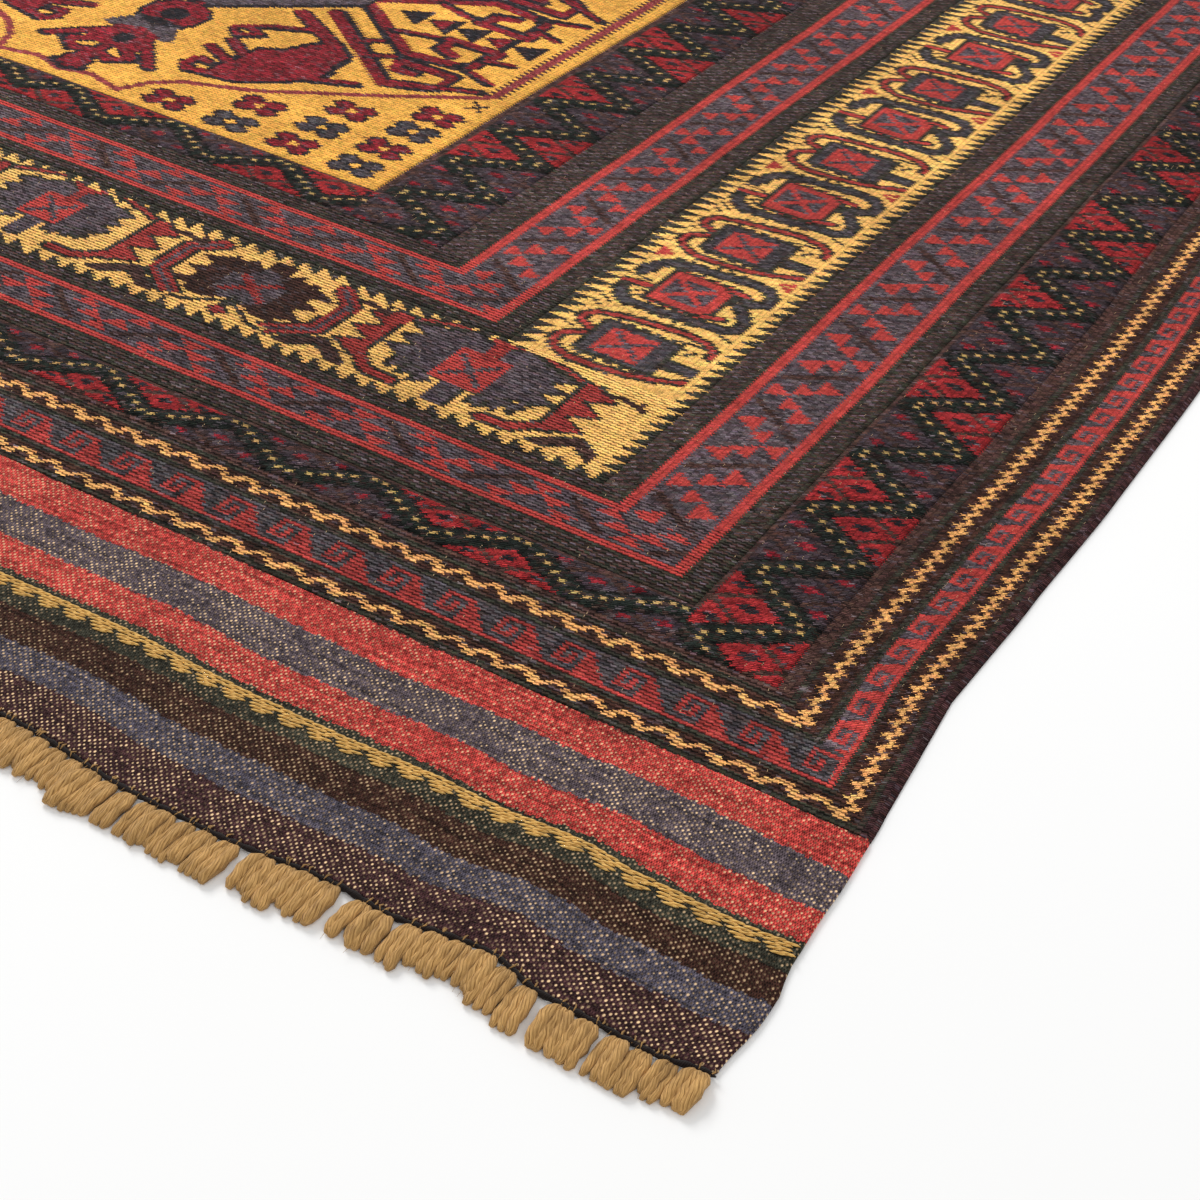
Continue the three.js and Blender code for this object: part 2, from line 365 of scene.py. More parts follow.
class Patch:
    """A drawing on a box of the chart: a and b are each stitch's place in mm. A motif's own points are
    scaled by grow, then moved by lead."""

    def __init__(self, chart, box, across, along, lead=(0, 0), grow=(1, 1)):
        self.chart, self.box = chart, box
        self.a, self.b = across, along
        self.lead, self.grow = lead, grow

    def moved(self, lead, grow=(1, 1)):
        """The same drawing with another origin and scale."""
        return Patch(self.chart, self.box, self.a, self.b, lead, grow)

    def spots(self, points):
        """A motif's points in the drawing's own mm."""
        (a0, b0), (u, v) = self.lead, self.grow
        return [(a0 + u * a, b0 + v * b) for a, b in points]

    def fill(self, mask, yarn):
        """Gives the masked stitches of the box a yarn."""
        self.chart.yarn[self.box][mask] = Y[yarn]

    def polygon(self, points, yarn):
        """A closed outline, filled."""
        self.fill(inside(self.a, self.b, self.spots(points)), yarn)

    def line(self, points, width, yarn, rim=0):
        """A line of straight pieces, with a dark rim if one is asked for."""
        d = away(self.a, self.b, self.spots(points))
        if rim:
            self.fill(d < width / 2 + rim, RIM_YARN)
        self.fill(d < width / 2, yarn)

    def teeth(self, points, pitch, deep, side, yarn, rim=0):
        """Pointed teeth along one side of a straight line: side 1 is to the left of its way."""
        (x0, y0), (x1, y1) = self.spots(points)
        long = np.hypot(x1 - x0, y1 - y0)
        ux, uy = (x1 - x0) / long, (y1 - y0) / long
        s = (self.a - x0) * ux + (self.b - y0) * uy
        n = ((self.b - y0) * ux - (self.a - x0) * uy) * side
        count = max(1, round(long / pitch))
        # f is 0 in a tooth's middle and 1 between two teeth
        f = np.abs(((s / long * count) % 1) - 0.5) * 2
        if rim:
            grow = deep * (1 - f) + rim * np.hypot(1, 2 * deep * count / long)
            beside = (s >= -rim) & (s <= long + rim)
            self.fill(beside & (n > 0) & (n < np.minimum(grow, deep + rim)), RIM_YARN)
        self.fill((s >= 0) & (s <= long) & (n > -2) & (n < deep * (1 - f)), yarn)


def inside(x, y, points):
    """True where a ray to the right crosses the closed outline an odd number of times."""
    hit = np.zeros(x.shape, bool)
    for (x0, y0), (x1, y1) in zip(points, points[1:] + points[:1]):
        if y0 != y1:
            hit ^= ((y0 > y) != (y1 > y)) & (x < (x1 - x0) * (y - y0) / (y1 - y0) + x0)
    return hit


def away(x, y, points):
    """Distance to an open line of straight pieces."""
    best = np.full(x.shape, 1e9)
    for (x0, y0), (x1, y1) in zip(points[:-1], points[1:]):
        dx, dy = x1 - x0, y1 - y0
        t = clamp01(((x - x0) * dx + (y - y0) * dy) / (dx * dx + dy * dy))
        best = np.minimum(best, np.hypot(x - x0 - t * dx, y - y0 - t * dy))
    return best


def lines_of(text):
    """A charted repeat as rows of true for red and false for slate."""
    return np.array([[letter == "R" for letter in line] for line in text.split()])


def guard(ch):
    """Selvedge, two gold zigzags and a row of hooks between them, with dark lines between."""
    col = row = 0
    marks = []
    for name, wide, _, deep in GUARD:
        ch.inner(col, row, name)
        marks.append((col, row))
        col += wide
        row += deep
    x, y = ch.x, ch.y
    first_col, first_row = marks[HOOKS]
    side = lines_of(SIDE_HOOK)
    for k in range(side.shape[1]):
        at = np.floor((y[:, 0] - HOOK_LEAD) / STROKE).astype(int) % len(side)
        red = side[at, k] & (np.arange(ROWS) >= first_row)
        ch.yarn[first_row:, first_col + k] = Y["slate"]
        ch.yarn[red, first_col + k] = Y["red"]
    end = lines_of(END_HOOK)
    # the end's repeat counts mm inside the guard's own columns, and whole stitches past them
    past = np.arange(COLS) - COL_START[1] + 0.5
    unit = np.where(past < 0, x[0] / HOOK_WIDE, COL_EDGE[COL_START[1]] / HOOK_WIDE + past)
    letters = end.shape[1]
    at = (letters - 1 - np.floor(unit - 4.6).astype(int) % letters)[first_col + 1:]
    for k in range(len(end)):
        ch.yarn[first_row + k, first_col + 1:] = np.where(end[k, at], Y["brick"], Y["coal"])
    for mark, tall, lead, pitch, along, along_pitch in ZIGZAGS:
        first_col, first_row = marks[mark]
        swing = 1 - np.abs(1 - 2 * (((y - lead) / pitch) % 1))
        off = np.abs(ch.c + 0.5 - (first_col + 1 + 2 * swing))
        ch.paint((off < 0.82) & (ch.r >= first_row), "orange")
        d = (1 - np.abs(1 - 2 * (((x - along) / along_pitch) % 1))) * along_pitch / 2
        level = ch.r - first_row
        top = tall - 2
        body = ((level >= top) & (level < tall) & (d < 5.6)) | ((level >= 0) & (level < 2) & (d > 8))
        step = (level >= 2) & (level < top) & (np.abs(d - (10.2 - (level - 1) * 5.6 / (top - 1))) < 3.5)
        ch.paint((body | step) & (ch.c > first_col + 1), "orange")


def relief_band(ch, band, lead, side, end):
    """Ribbon zigzag between triangles. lead: plain stitches at the inner edge. side and end: where in
    mm an outer tip of the ribbon lies, how far it runs from tip to tip, and which triangles are red."""
    c0, c1 = COL_START[band], COL_START[band + 1] - lead
    r0, r1 = ROW_START[band], ROW_START[band + 1] - 2
    box = (slice(r0, ROWS), slice(c0, c1))
    a = (ch.c[box] - c0 + 0.5) / (c1 - c0)
    zigzag(ch, box, a, (ch.y[box] - side[0]) / side[1], side[2], RELIEF_STITCH * (c1 - c0), side[1])
    box = (slice(r0, r1), slice(c1, COLS))
    a = (ch.r[box] - r0 + 0.5) / (r1 - r0)
    zigzag(ch, box, a, (ch.x[box] - end[0]) / end[1], end[2], STROKE * (r1 - r0), end[1])


def ribbon_line(up):
    """The ribbon's middle as a share of the band's width: up is 0 at an outer tip and 1 at an inner
    one."""
    return 0.10 + 0.80 * up


def zigzag(ch, box, a, b, reds, wide, pitch):
    """Raised ribbon with puffed triangles on both sides. a runs from 0 to 1 across from the outer edge,
    and b counts runs of the zigzag along, with outer tips at even whole numbers. reds are the numbers
    of the red triangles, wide is the band in mm, and pitch is one run in mm."""
    yarn, lift = ch.yarn[box], ch.lift[box]
    k = np.floor(b).astype(int)
    f = b - k
    up = np.where(k % 2 == 0, f, 1 - f)
    line = ribbon_line(up)
    slope = 0.8 * wide / pitch
    far = (a - line) * wide / np.sqrt(1 + slope * slope)
    half = RIBBON_HALF
    # triangles inward of the ribbon have an inner base and point outward
    inward = far > 0
    whole_b = np.where(inward, np.round(b / 2) * 2, np.round((b - 1) / 2) * 2 + 1)
    t = (b - whole_b) * pitch
    s = np.where(inward, (1 - a), a) * wide
    tall = 0.9 * wide - half * np.sqrt(1 + slope * slope)
    base = pitch * (tall / (0.8 * wide))
    red = np.isin(whole_b.astype(int), reds)
    yarn[...] = np.where(red, Y["deep_red"], Y["violet"])
    mark = np.where(red, Y["ink"], Y["crimson"])
    ratio = base / tall
    split = np.abs(np.abs(t) - s * ratio * 0.95) / np.sqrt(1 + ratio * ratio)
    # painted shade: umber in the creases between the puffed parts of each triangle, where their lift is
    # low
    crease_shade = (split < 2.2) & (s < tall * 0.56)
    yarn[crease_shade] = Y["umber"]
    # painted shade: black on the slopes where the puffed triangles dip beside the raised ribbon
    ribbon_shade = np.abs(far) < half + RIBBON_SHADE_REACH
    yarn[ribbon_shade] = Y["black"]
    d1 = np.abs(s - tall * 0.5) / (0.16 * tall) + np.abs(t) / (0.15 * base)
    d2 = np.abs(s - tall * 0.2) / (0.13 * tall) + np.abs(np.abs(t) - base * 0.56) / (0.12 * base)
    spot = (d1 < 1) | (d2 < 1)
    yarn[spot] = mark[spot]
    puff = clamp01(np.minimum(split, np.abs(far) - half) / 5.0)
    lift[...] = 1.5 * np.sin(puff * np.pi / 2)
    ribbon = np.abs(far) < half
    yarn[ribbon] = Y["pile"]
    lift[ribbon] = 2.0 + np.sqrt(clamp01(1 - (far[ribbon] / half) ** 2))
    for j in range(int(np.floor(b.min())) * DOTS, int(np.floor(b.max()) + 1) * DOTS):
        at = (j + 0.5) / DOTS
        turn = int(np.floor(at))
        u = at - turn if turn % 2 == 0 else 1 - (at - turn)
        gap = np.hypot((a - ribbon_line(u)) * wide, (b - at) * pitch)
        if gap.min() < 3.5:
            at_row, at_col = np.unravel_index(np.argmin(gap), gap.shape)
            yarn[at_row:at_row + 2, at_col] = Y["straw"]


def chevrons(ch, box, across, along, width, layout):
    """Slate band: groups of five small stepped triangles in compartments parted by dark diagonals, all
    in mm. layout: pitch of the groups, phase of the first as a share of it, a triangle's height and
    base, steps across and along."""
    pitch, phase, tall, base, da, db = layout
    p = Patch(ch, box, across, along)
    p.fill(np.ones(across.shape, bool), "slate")
    for g in range(-1, int(along.max() / pitch) + 2):
        mid = (g + phase) * pitch
        inward = g % 2 == 0
        # the dark diagonal between this group and the next
        lo, hi = (0.27, 0.73) if inward else (0.73, 0.27)
        p.line([(5, mid + lo * pitch), (width - 5, mid + hi * pitch)], 6.0, "umber")
        for k in (-2, -1, 0, 1, 2):
            flat = 4.0 + abs(k) * da
            s = p.a - flat if inward else width - flat - p.a
            half = base / 2 * (1 - s / tall) + 0.01
            p.fill((s >= 0) & (s < tall) & (np.abs(p.b - mid - k * db) <= half), "red")


def striped_band(ch, band, slate, last, end_rows, layouts):
    """Slate with red lines beside it, and dark stripes outside and inside them. slate and last:
    stitches across the slate and the innermost stripe. end_rows: strokes along all eight stripes at the
    ends, whose pattern fills the corner. A violet stripe gets leaning strokes of other dark yarns."""
    c, r = COL_START[band], ROW_START[band]
    names = ("green", "violet", "green", "red", "slate", "red", "green", "violet")
    for name, wide, deep in zip(names, (1, 3, 1, 2, slate, 2, 1, last), end_rows):
        if name == "slate":
            c0, c1, r0, r1 = c, c + wide, r, r + deep
        ch.inner(c, r, name)
        if name == "violet":
            here = (ch.r >= r) & (ch.c >= c)
            lean = (ch.r + 2 * ch.c) % 5
            ch.paint(here, "umber")
            ch.paint(here & (lean < 2), "green")
            ch.paint(here & (lean == 3), "slate")
        c += wide
        r += deep
    x0, y0 = COL_EDGE[c0], ROW_EDGE[r0]
    box = (slice(r1, ROWS), slice(c0, c1))
    chevrons(ch, box, ch.x[box] - x0, ch.y[box] - y0, COL_EDGE[c1] - x0, layouts[0])
    box = (slice(r0, r1), slice(c0, COLS))
    chevrons(ch, box, ch.y[box] - y0, ch.x[box] - COL_EDGE[c1], ROW_EDGE[r1] - y0, layouts[1])


def frame_slate(p):
    """Toothed dark box, red square with a slate cross, thin red lines round it."""
    ring = [(90, 4), (104, 11), (108, 20), (101, 30), (84, 36), (30, 44), (11, 41), (1, 33), (-2, 22)]
    below = [(94, -4), (105, -12), (107, -23), (100, -34), (85, -41), (62, -41), (40, -38), (20, -32),
             (-6, -20)]
    for points in (ring, below):
        p.line(points, 4.6, "rust", 3.2)
    p.line([(104, 1), (113, 2)], 3, "green")
    p.line([(38, -5), (-8, -6)], 9.5, "coal", 3.2)
    body = [(26, -24), (86, -24), (86, 21), (26, 21)]
    for b, side in ((22, 1), (-25, -1)):
        p.teeth([(27, b), (86, b)], 11.6, 6.0, side, "coal", 3)
    for b, side in ((-22, 1), (21, -1)):
        p.teeth([(87, b), (87, b / 3)], 12, 7, side, "coal", 3)
    p.line(body + body[:1], 4, "coal", 3)
    p.polygon(body, "coal")
    p.polygon([(38, -20), (77, -20), (77, 16), (38, 16)], "red")
    for b, side in ((16, 1), (-20, -1)):
        p.teeth([(38, b), (77, b)], 13, 3.6, side, "red")
    p.line([(42, -15), (72, 12)], 4.2, "slate")
    p.line([(72, -15), (42, 12)], 4.2, "slate")
    for points in ([(20, 22), (28, 31), (12, 33)], [(22, -14), (8, -12)], [(18, 12), (8, 24)]):
        p.line(points, 3.4, "green")
    # dark teeth on the outer sides of the red lines
    p.teeth([(84, 41), (30, 49)], 10, 3.6, -1, "green")
    p.teeth([(84, -46), (46, -44)], 10, 3.6, 1, "green")


def frame_red(p):
    """Toothed red box filled slate with a red cross, broad dark hooked arms round it."""
    ring = [(105, 8), (104, 22), (96, 35), (74, 41), (36, 45), (22, 47), (10, 44), (2, 34), (0, 22),
            (9, 16), (22, 12)]
    below = [(20, 8), (12, 0), (3, -12), (1, -26), (9, -34), (36, -37), (76, -41), (95, -41),
             (104, -33), (106, -23)]
    for points in (ring, below):
        p.line(points, 7.4, "coal", 3.2)
    p.teeth([(97, 44), (30, 52)], 11, 5, -1, "green")
    p.teeth([(96, -47), (30, -43)], 11, 5, 1, "green")
    for points in ([(90, -19), (100, -27)], [(112, -16), (104, -22)], [(88, -26), (94, -33)],
                   [(92, -1), (114, 0)]):
        p.line(points, 2.8, "green")
    p.line([(84, -9), (110, -12)], 5.4, "red", 3)
    body = [(31, -25), (83, -25), (83, 25), (31, 25)]
    for b, side in ((25, 1), (-25, -1)):
        p.teeth([(31, b), (83, b)], 12.6, 6.5, side, "red", 3)
    p.line(body + body[:1], 3, "red", 3)
    p.polygon(body, "red")
    p.polygon([(38, -18), (77, -18), (77, 19), (38, 19)], "slate")
    p.line([(38, -18), (77, 19)], 5.4, "red")
    p.line([(77, -18), (38, 19)], 5.4, "red")
    p.line([(32, 25), (20, 24)], 4.4, "red", 3)
    p.line([(32, -25), (19, -20)], 4.4, "red", 3)


def main_border(ch):
    """Gold band between rows of teeth, with frames along the sides and medallions along the ends."""
    c0, c1, r0, r1 = COL_START[3], COL_START[4], ROW_START[3], ROW_START[4]
    ch.inner(c0, r0, "green")
    # gold field inside the tooth rows, all round
    ch.inner(c0 + 3, r0 + TOOTH_ROWS, "gold")
    ch.inner(c1 - 4, r1 - TOOTH_ROWS, "green")
    # teeth grow along and break off: sides first, then ends
    for first, lead, pitch, deep, rising in ((c0, 235.5, 13.2, 3, True), (c1 - 4, 408, 13.8, 4, False)):
        f = ((ch.y - lead) / pitch) % 1
        reach = (deep + 0.4) * (f if rising else 1 - f)
        column = first + deep - ch.c if rising else ch.c - first + 1
        low = r0 + 4 if rising else r1 - 4
        ch.paint((column >= 1) & (column <= deep) & (column <= reach) & (ch.r >= low), "gold")
    for first, rising in ((r0, True), (r1 - TOOTH_ROWS, False)):
        f = ((ch.x - 7) / 17.4) % 1
        reach = (TOOTH_ROWS + 0.4) * (1 - f if rising else f)
        line = first + TOOTH_ROWS - ch.r if rising else ch.r - first + 1
        low = c0 + 2 if rising else c1 - 2
        ch.paint((line >= 1) & (line <= TOOTH_ROWS) & (line <= reach) & (ch.c >= low), "gold")
    # frames up the side: across 0 a little inside the outer gold line
    box = (slice(r0 + TOOTH_ROWS, ROWS), slice(c0 + 4, c1 - 4))
    p = Patch(ch, box, ch.x[box] - COL_EDGE[c0 + 5], ch.y[box])
    for n in range(FRAMES):
        (frame_red if n % 2 else frame_slate)(p.moved((0, FRAME_FIRST + n * FRAME_PITCH)))
    for n in range(FRAMES - 1):
        q = p.moved((0, FRAME_FIRST + (n + 0.5) * FRAME_PITCH))
        if n % 2:
            q.polygon([(-7, 20), (11, 9), (-7, -3)], "red")
            q.line([(-8, 9), (3, 9)], 2.4, "gold")
            q.polygon([(116, 10), (98, -1), (114, -14)], "red")
        else:
            for points in ([(116, 9), (100, -1)], [(116, -1), (106, -9)], [(-7, 0), (10, 9)]):
                q.line(points, 3, "green")
    # medallions along the end: across 0 at the outer gold line, along from the body's long edge
    box = (slice(r0 + TOOTH_ROWS, r1 - 3), slice(c0 + 5, COLS))
    medallions(Patch(ch, box, ch.y[box] - MEDALLION_FOOT, ch.x[box]))


def medallions(p):
    """Drawn with a = mm above the medallions' foot, b = mm in from the long edge."""
    for m, kind in MEDALLIONS:
        if kind == "brown":
            medal_brown(p.moved((0, m)))
            continue
        scale, lift = (1.0, 0.0) if m == MEDALLIONS[0][0] else (0.84, 10.0)
        medal_slate(p.moved((0, m)), p.moved((lift, m), (scale, scale)), scale)
        for b in (-110, 110):
            q = p.moved((0, m + b))
            q.line([(3, -25), (21, 0), (3, 25)], 10, "umber", 1.8)
            q.line([(84, -16), (90, 2), (88, 16)], 5.5, "umber")
            q.polygon([(84, -20), (96, -12), (86, -6)], "umber")


def medal_slate(p, core, scale):
    """Slate medallion: toothed body, red square with a slate cross, red stem, toothed red brackets.
    core is the body's own patch, scaled so that the body can be smaller inside its brackets."""
    for s in (-1, 1):
        p.line([(88, s * 80), (96, s * 64), (103, s * 42), (109, s * 24), (108, s * 8)], 3.6, "rust", 3)
        foot = [(7, s * 38), (9, s * 62), (26, s * 80), (66, s * 82), (90, s * 79)]
        p.line(foot, 14.4, "green")
        p.teeth([(20, s * 82), (94, s * 84)], 25, 22, s, "brick", 3)
        p.line(foot, 7.6, "brick")
    body = [(32, -22), (32, 22), (38, 42), (48, 54), (74, 56), (90, 47), (99, 34), (105, 22), (98, 12),
            (98, -12), (105, -22), (99, -34), (90, -47), (74, -56), (48, -54), (38, -42)]
    # the rims first, so that the slate of every tooth joins the body
    core.line(body + body[:1], 6.8, "green")
    for rim in (3, 0):
        if not rim:
            core.polygon(body, "slate")
        for s in (-1, 1):
            core.teeth([(40, s * 52), (94, s * 48)], 17.5 * scale, 19 * scale, s, "slate", rim)
            core.teeth([(38, s * 54), (26, s * 18)], 14.5 * scale, 13 * scale, -s, "slate", rim)
    core.line([(36, 0), (3, 0)], 16 * scale, "slate", 3.2)
    core.polygon([(31, -22), (80, -22), (80, 23), (31, 23)], "red")
    core.line([(38, -15), (71, 17)], 5, "slate")
    core.line([(38, 17), (71, -15)], 5, "slate")
    core.line([(78, 0), (100, 0)], 12, "brick")
    for b in (-16, 16):
        core.line([(98, 0), (109, b)], 5, "brick")


def medal_brown(p):
    """Brown medallion: slate lozenge with a red cross, lined six-sided brackets, a small red diamond
    below."""
    for s in (-1, 1):
        for width, yarn in ((19.2, "green"), (13.2, "brick"), (4.6, "slate")):
            p.line([(8, s * 42), (32, s * 74), (75, s * 76), (93, s * 58)], width, yarn)
    body = [(26, -8), (26, 8), (18, 20), (18, 40), (34, 46), (70, 46), (84, 30), (83, 11), (98, 11),
            (98, -11), (83, -11), (84, -30), (70, -46), (34, -46), (18, -40), (18, -20)]
    for s in (-1, 1):
        p.teeth([(24, s * 38), (82, s * 40)], 19, 24, s, "brown")
        p.teeth([(82, s * 12), (76, s * 44)], 16, 12, -s, "brown")
    p.polygon(body, "brown")
    p.polygon([(28, -12), (40, -26), (62, -27), (72, -13), (83, -7), (83, 7), (72, 13), (62, 27),
               (40, 26), (28, 12)], "slate")
    for s in (-1, 1):
        p.line([(38, s * 18), (66, s * -16)], 6, "brick")
    for s in (-1, 1):
        brace = [(26, 0), (17, s * 16), (7, s * 30), (5, s * 42)]
        p.line(brace, 9.2, "gold")
        p.line(brace, 4.4, "green")
    p.line([(30, 0), (22, 0)], 12, "green")
    p.polygon([(0, 0), (10, -11), (20, 0), (10, 11)], "green")
    p.polygon([(3, 0), (10, -8), (17, 0), (10, 8)], "brick")


def rosette(p, a, b, yarn):
    """Four-petalled flower, 48 by 36 mm: dark spiky rims, the yarn's own petals, and a gold heart."""
    da, db = np.abs(p.a - a), np.abs(p.b - b)
    for grow, name in ((1.0, "ink"), (0.7, "coal" if yarn == "ink" else yarn)):
        p.fill((da - 11.4) ** 2 / (11.6 * grow) ** 2 + (db - 7.8) ** 2 / (8.8 * grow) ** 2 < 1, name)
        p.fill(np.abs(da - 11.4) / (13.6 * grow) + np.abs(db - 7.8) / (11 * grow) < 1, name)
    p.fill(da + db < 9, yarn)
    p.fill(da + db < 5.4, "amber")
    p.fill((db > 11) & (da < 1.8) & (db < 18), "amber")
    p.fill((da > 18) & (db < 1.4) & (da < 24), "amber")


def shifted(points, da, db):
    """The same points, moved."""
    return [(a + da, b + db) for a, b in points]


# Strokes of the figures in the field, drawn about FIGURE_LINE: points and width.
HOOKED_ARM = [([(893, 800), (800, 726), (745, 734)], 12), ([(745, 734), (703, 719)], 6),
              ([(738, 738), (732, 782), (786, 780), (781, 756), (764, 750)], 11),
              ([(735, 760), (708, 768)], 6), ([(838, 764), (800, 776)], 6)]
OUTER_ARM = [([(905, 757), (782, 656), (745, 672)], 13),
             ([(770, 664), (738, 676), (738, 706), (796, 706), (790, 688), (772, 690)], 10),
             ([(738, 678), (704, 694)], 6), ([(852, 716), (826, 740)], 6), ([(828, 694), (804, 712)], 6)]
LIMBS = [([(905, 574), (932, 566), (940, 578), (936, 592), (926, 590)], 9), ([(912, 624), (940, 644)], 9),
         ([(912, 602), (946, 620)], 9), ([(850, 612), (800, 638)], 8), ([(858, 692), (930, 738)], 13),
         ([(896, 712), (936, 690)], 7), ([(936, 690), (958, 668), (944, 656), (928, 670), (944, 676)], 6)]


def arm(p, strokes, da, db):
    """Long red arm with barbs and a square spiral, dark on the side that da and db point to."""
    for points, width in strokes:
        p.line(shifted(points, da, db), width + 7, "ink")
        p.line(points, width, "crimson")


def big_figure(p):
    """Broad red body with a curled neck, two barbs and a long tail."""
    body = [(912, 566), (908, 642), (888, 655), (878, 680), (862, 700), (838, 682), (830, 628),
            (848, 600), (882, 572)]
    p.line(body + body[:1], 12, "ink")
    p.polygon(shifted(body, -8, 2), "ink")
    for points, width in LIMBS:
        p.line(shifted(points, -3, -2), width + 7, "ink")
    p.polygon(body, "crimson")
    for points, width in LIMBS:
        p.line(points, width, "crimson")


def flower(p):
    """Flower on the long axis, drawn with a = mm from the axis: leaves below, a slate neck and a round
    red head."""
    stalks = [([(0, 690), (0, 500)], 8), ([(-14, 596), (-58, 545)], 9), ([(0, 540), (-10, 506)], 10),
              ([(-12, 566), (-36, 548), (-20, 534), (-8, 540)], 9)]
    for points, width in stalks:
        p.line(shifted(points, -2, -2), width + 7, "ink")
    p.line(*stalks[0], "crimson")
    a = p.a - p.lead[0]
    for wide, high, yarn in ((36, 34, "ink"), (30, 32, "crimson"), (13, 15, "ink")):
        p.fill(np.hypot(a / wide, (p.b - 655) / high) < 1, yarn)
    p.polygon([(-32, 632), (1, 606), (1, 640)], "ink")
    p.polygon([(-42, 600), (-24, 632), (1, 618), (1, 588)], "slate")
    p.polygon([(-30, 560), (-26, 600), (1, 612), (1, 556)], "crimson")
    p.fill(np.hypot(a / 10, (p.b - 580) / 12) < 1, "ink")
    for points, width in stalks[1:]:
        p.line(points, width, "crimson")


def small_flowers(p, *rows):
    """Rows of rosettes: where each row lies along, where it begins across, and its yarns, R red and S
    dark."""
    for b, a, yarns in rows:
        for k, yarn in enumerate(yarns):
            rosette(p, a + ROSETTE_PITCH * k, b, "crimson" if yarn == "R" else "ink")


def field(ch):
    """Gold middle: corner pieces full of rosettes, figures up the sides, a flower and a long
    medallion."""
    c, r = COL_START[6], ROW_START[6]
    ch.inner(c, r, "amber")
    box = (slice(r, ROWS), slice(c, COLS))
    p = Patch(ch, box, ch.x[box], ch.y[box])
    # border line of the corner piece
    p.line([(685, 700), (692, 688), (750, 645), (850, 570), (915, 540), (934, 520), (946, 490),
            (985, 500), (1016, 490)], 7.4, "mauve")
    small_flowers(p, (503, 702, "SRSR"), (545, 702, "RSR"), (588, 702, "SR"), (627, 702, "R"))
    for points in ([(678, 660), (692, 676)], [(692, 660), (678, 676)]):
        p.line(points, 3.5, "ink")
    # serrated stripe up the side
    off = np.where(p.b > 694, np.abs(p.a - SIDE_STRIPE), np.inf)
    p.fill((off < 8.9) & (p.b % 7.1 < 3.6), "plum")
    p.fill(off < 5.5, "mauve")
    big_figure(p)
    for centre, turn in ((FIGURE_LINE, 1), (FIGURE_LINE, -1), (HALF_LONG, 1)):
        q = p.moved((0, centre - turn * FIGURE_LINE), (1, turn))
        arm(q, OUTER_ARM, -3, 2)
        arm(q, HOOKED_ARM, 2, -3)
    for centre in (FIGURE_LINE, HALF_LONG):
        for n, a in enumerate((717, 749, 781, 813, 845)):
            q = p.moved((a, centre))
            q.polygon([(-15, -21), (-15, 21), (18, 0)], "ink")
            q.polygon([(-8, -14), (-8, 14), (12, 0)], "crimson" if n % 2 else "ink")
    small_flowers(p, (1016, 758, "RS"), (1058, 725, "SRS"), (1100, 758, "RS"))
    # centre medallion: deep is how far a stitch lies inside its outline
    w = np.abs(p.a - LONG_AXIS)
    deep = np.minimum(125 - w, (p.b - 674 - 0.92 * w) / 1.36)
    for least, yarn in ((0, "ink"), (7, "slate"), (24, "ink"), (28, "crimson"), (46, "ink"),
                        (50, "amber")):
        p.fill(deep > least, yarn)
    half = DIAMOND_PITCH / 2
    q = w / 44 + np.abs((HALF_LONG - p.b + half) % DIAMOND_PITCH - half) / 36
    for size, yarn in ((1, "ink"), (0.8, "crimson"), (0.36, "amber")):
        p.fill((deep > 56) & (q < size), yarn)
    flower(p.moved((LONG_AXIS, 0)))


def make_chart():
    """Draws every band on one quarter of the body, from the outer edge in."""
    chart = Chart()
    guard(chart)
    chart.inner(COL_START[1], ROW_START[1], "umber")
    relief_band(chart, 1, 1, (61.5, 42.6, [1, 2, 5, 6, 9, 10, 14, 17, 18, 21, 22, 25, 29]),
                (124.9, 58.0, [3, 4, 8, 9, 12, 13]))
    striped_band(chart, 2, 13, 4, [2, 8, 2, 4, 20, 4, 2, 6],
                  ((75, 0.217, 17, 22, 16, 12.5), (75, -0.225, 10.6, 25, 11, 12.5)))
    main_border(chart)
    striped_band(chart, 4, 12, 6, [2, 4, 2, 4, 22, 4, 2, 8],
                  ((71.8, 0.352, 15.5, 19, 15.2, 12.2), (76, 0.013, 11.4, 26, 12.4, 13)))
    chart.inner(COL_START[5], ROW_START[5], "umber")
    relief_band(chart, 5, 2, (446.0, 38.5, [4, 5, 8, 11, 12, 15, 18, 19, 22]),
                (575.6, 57.2, [2, 3, 6, 7]))
    field(chart)
    return chart


def whole(quarter):
    """The four mirrored quarters of an array of cells: row 0 is the near end and column 0 the left
    edge."""
    left = np.concatenate([quarter, quarter[::-1]])
    return np.concatenate([left, left[:, ::-1]], axis=1)


def band_of_quads():
    """For each quad of the quarter, the number of its band, and how far its strokes lie in level rows:
    1 at the ends, 0 along the sides and in the relief bands."""
    col = np.searchsorted(COL_START, np.arange(COLS), side="right") - 1
    row = np.searchsorted(ROW_START, np.arange(0, ROWS, 2), side="right") - 1
    band = np.minimum(col[None, :], row[:, None])
    x = (COL_EDGE[:-1] + COL_EDGE[1:]) / 2 - COL_EDGE[COL_START[band]]
    y = (ROW_EDGE[:-1:2] + STROKE)[:, None] - ROW_EDGE[ROW_START[band]]
    in_corner = (col[None, :] == row[:, None]) & ((y < x) | np.isin(band, (2, 3, 4)))
    level = np.where((col[None, :] > row[:, None]) | in_corner, 1.0, 0.0)
    level = np.where(np.isin(band, (1, 5)), 0.0, level)
    return band, np.where(band == len(BANDS) - 1, 0.4, level)


def yarn_table():
    """The yarns' linear colours, one row each, as the user has set them."""
    yarns = bpy.context.scene.rug_yarns
    return np.array([tuple(getattr(yarns, name)) for name in NAMES])


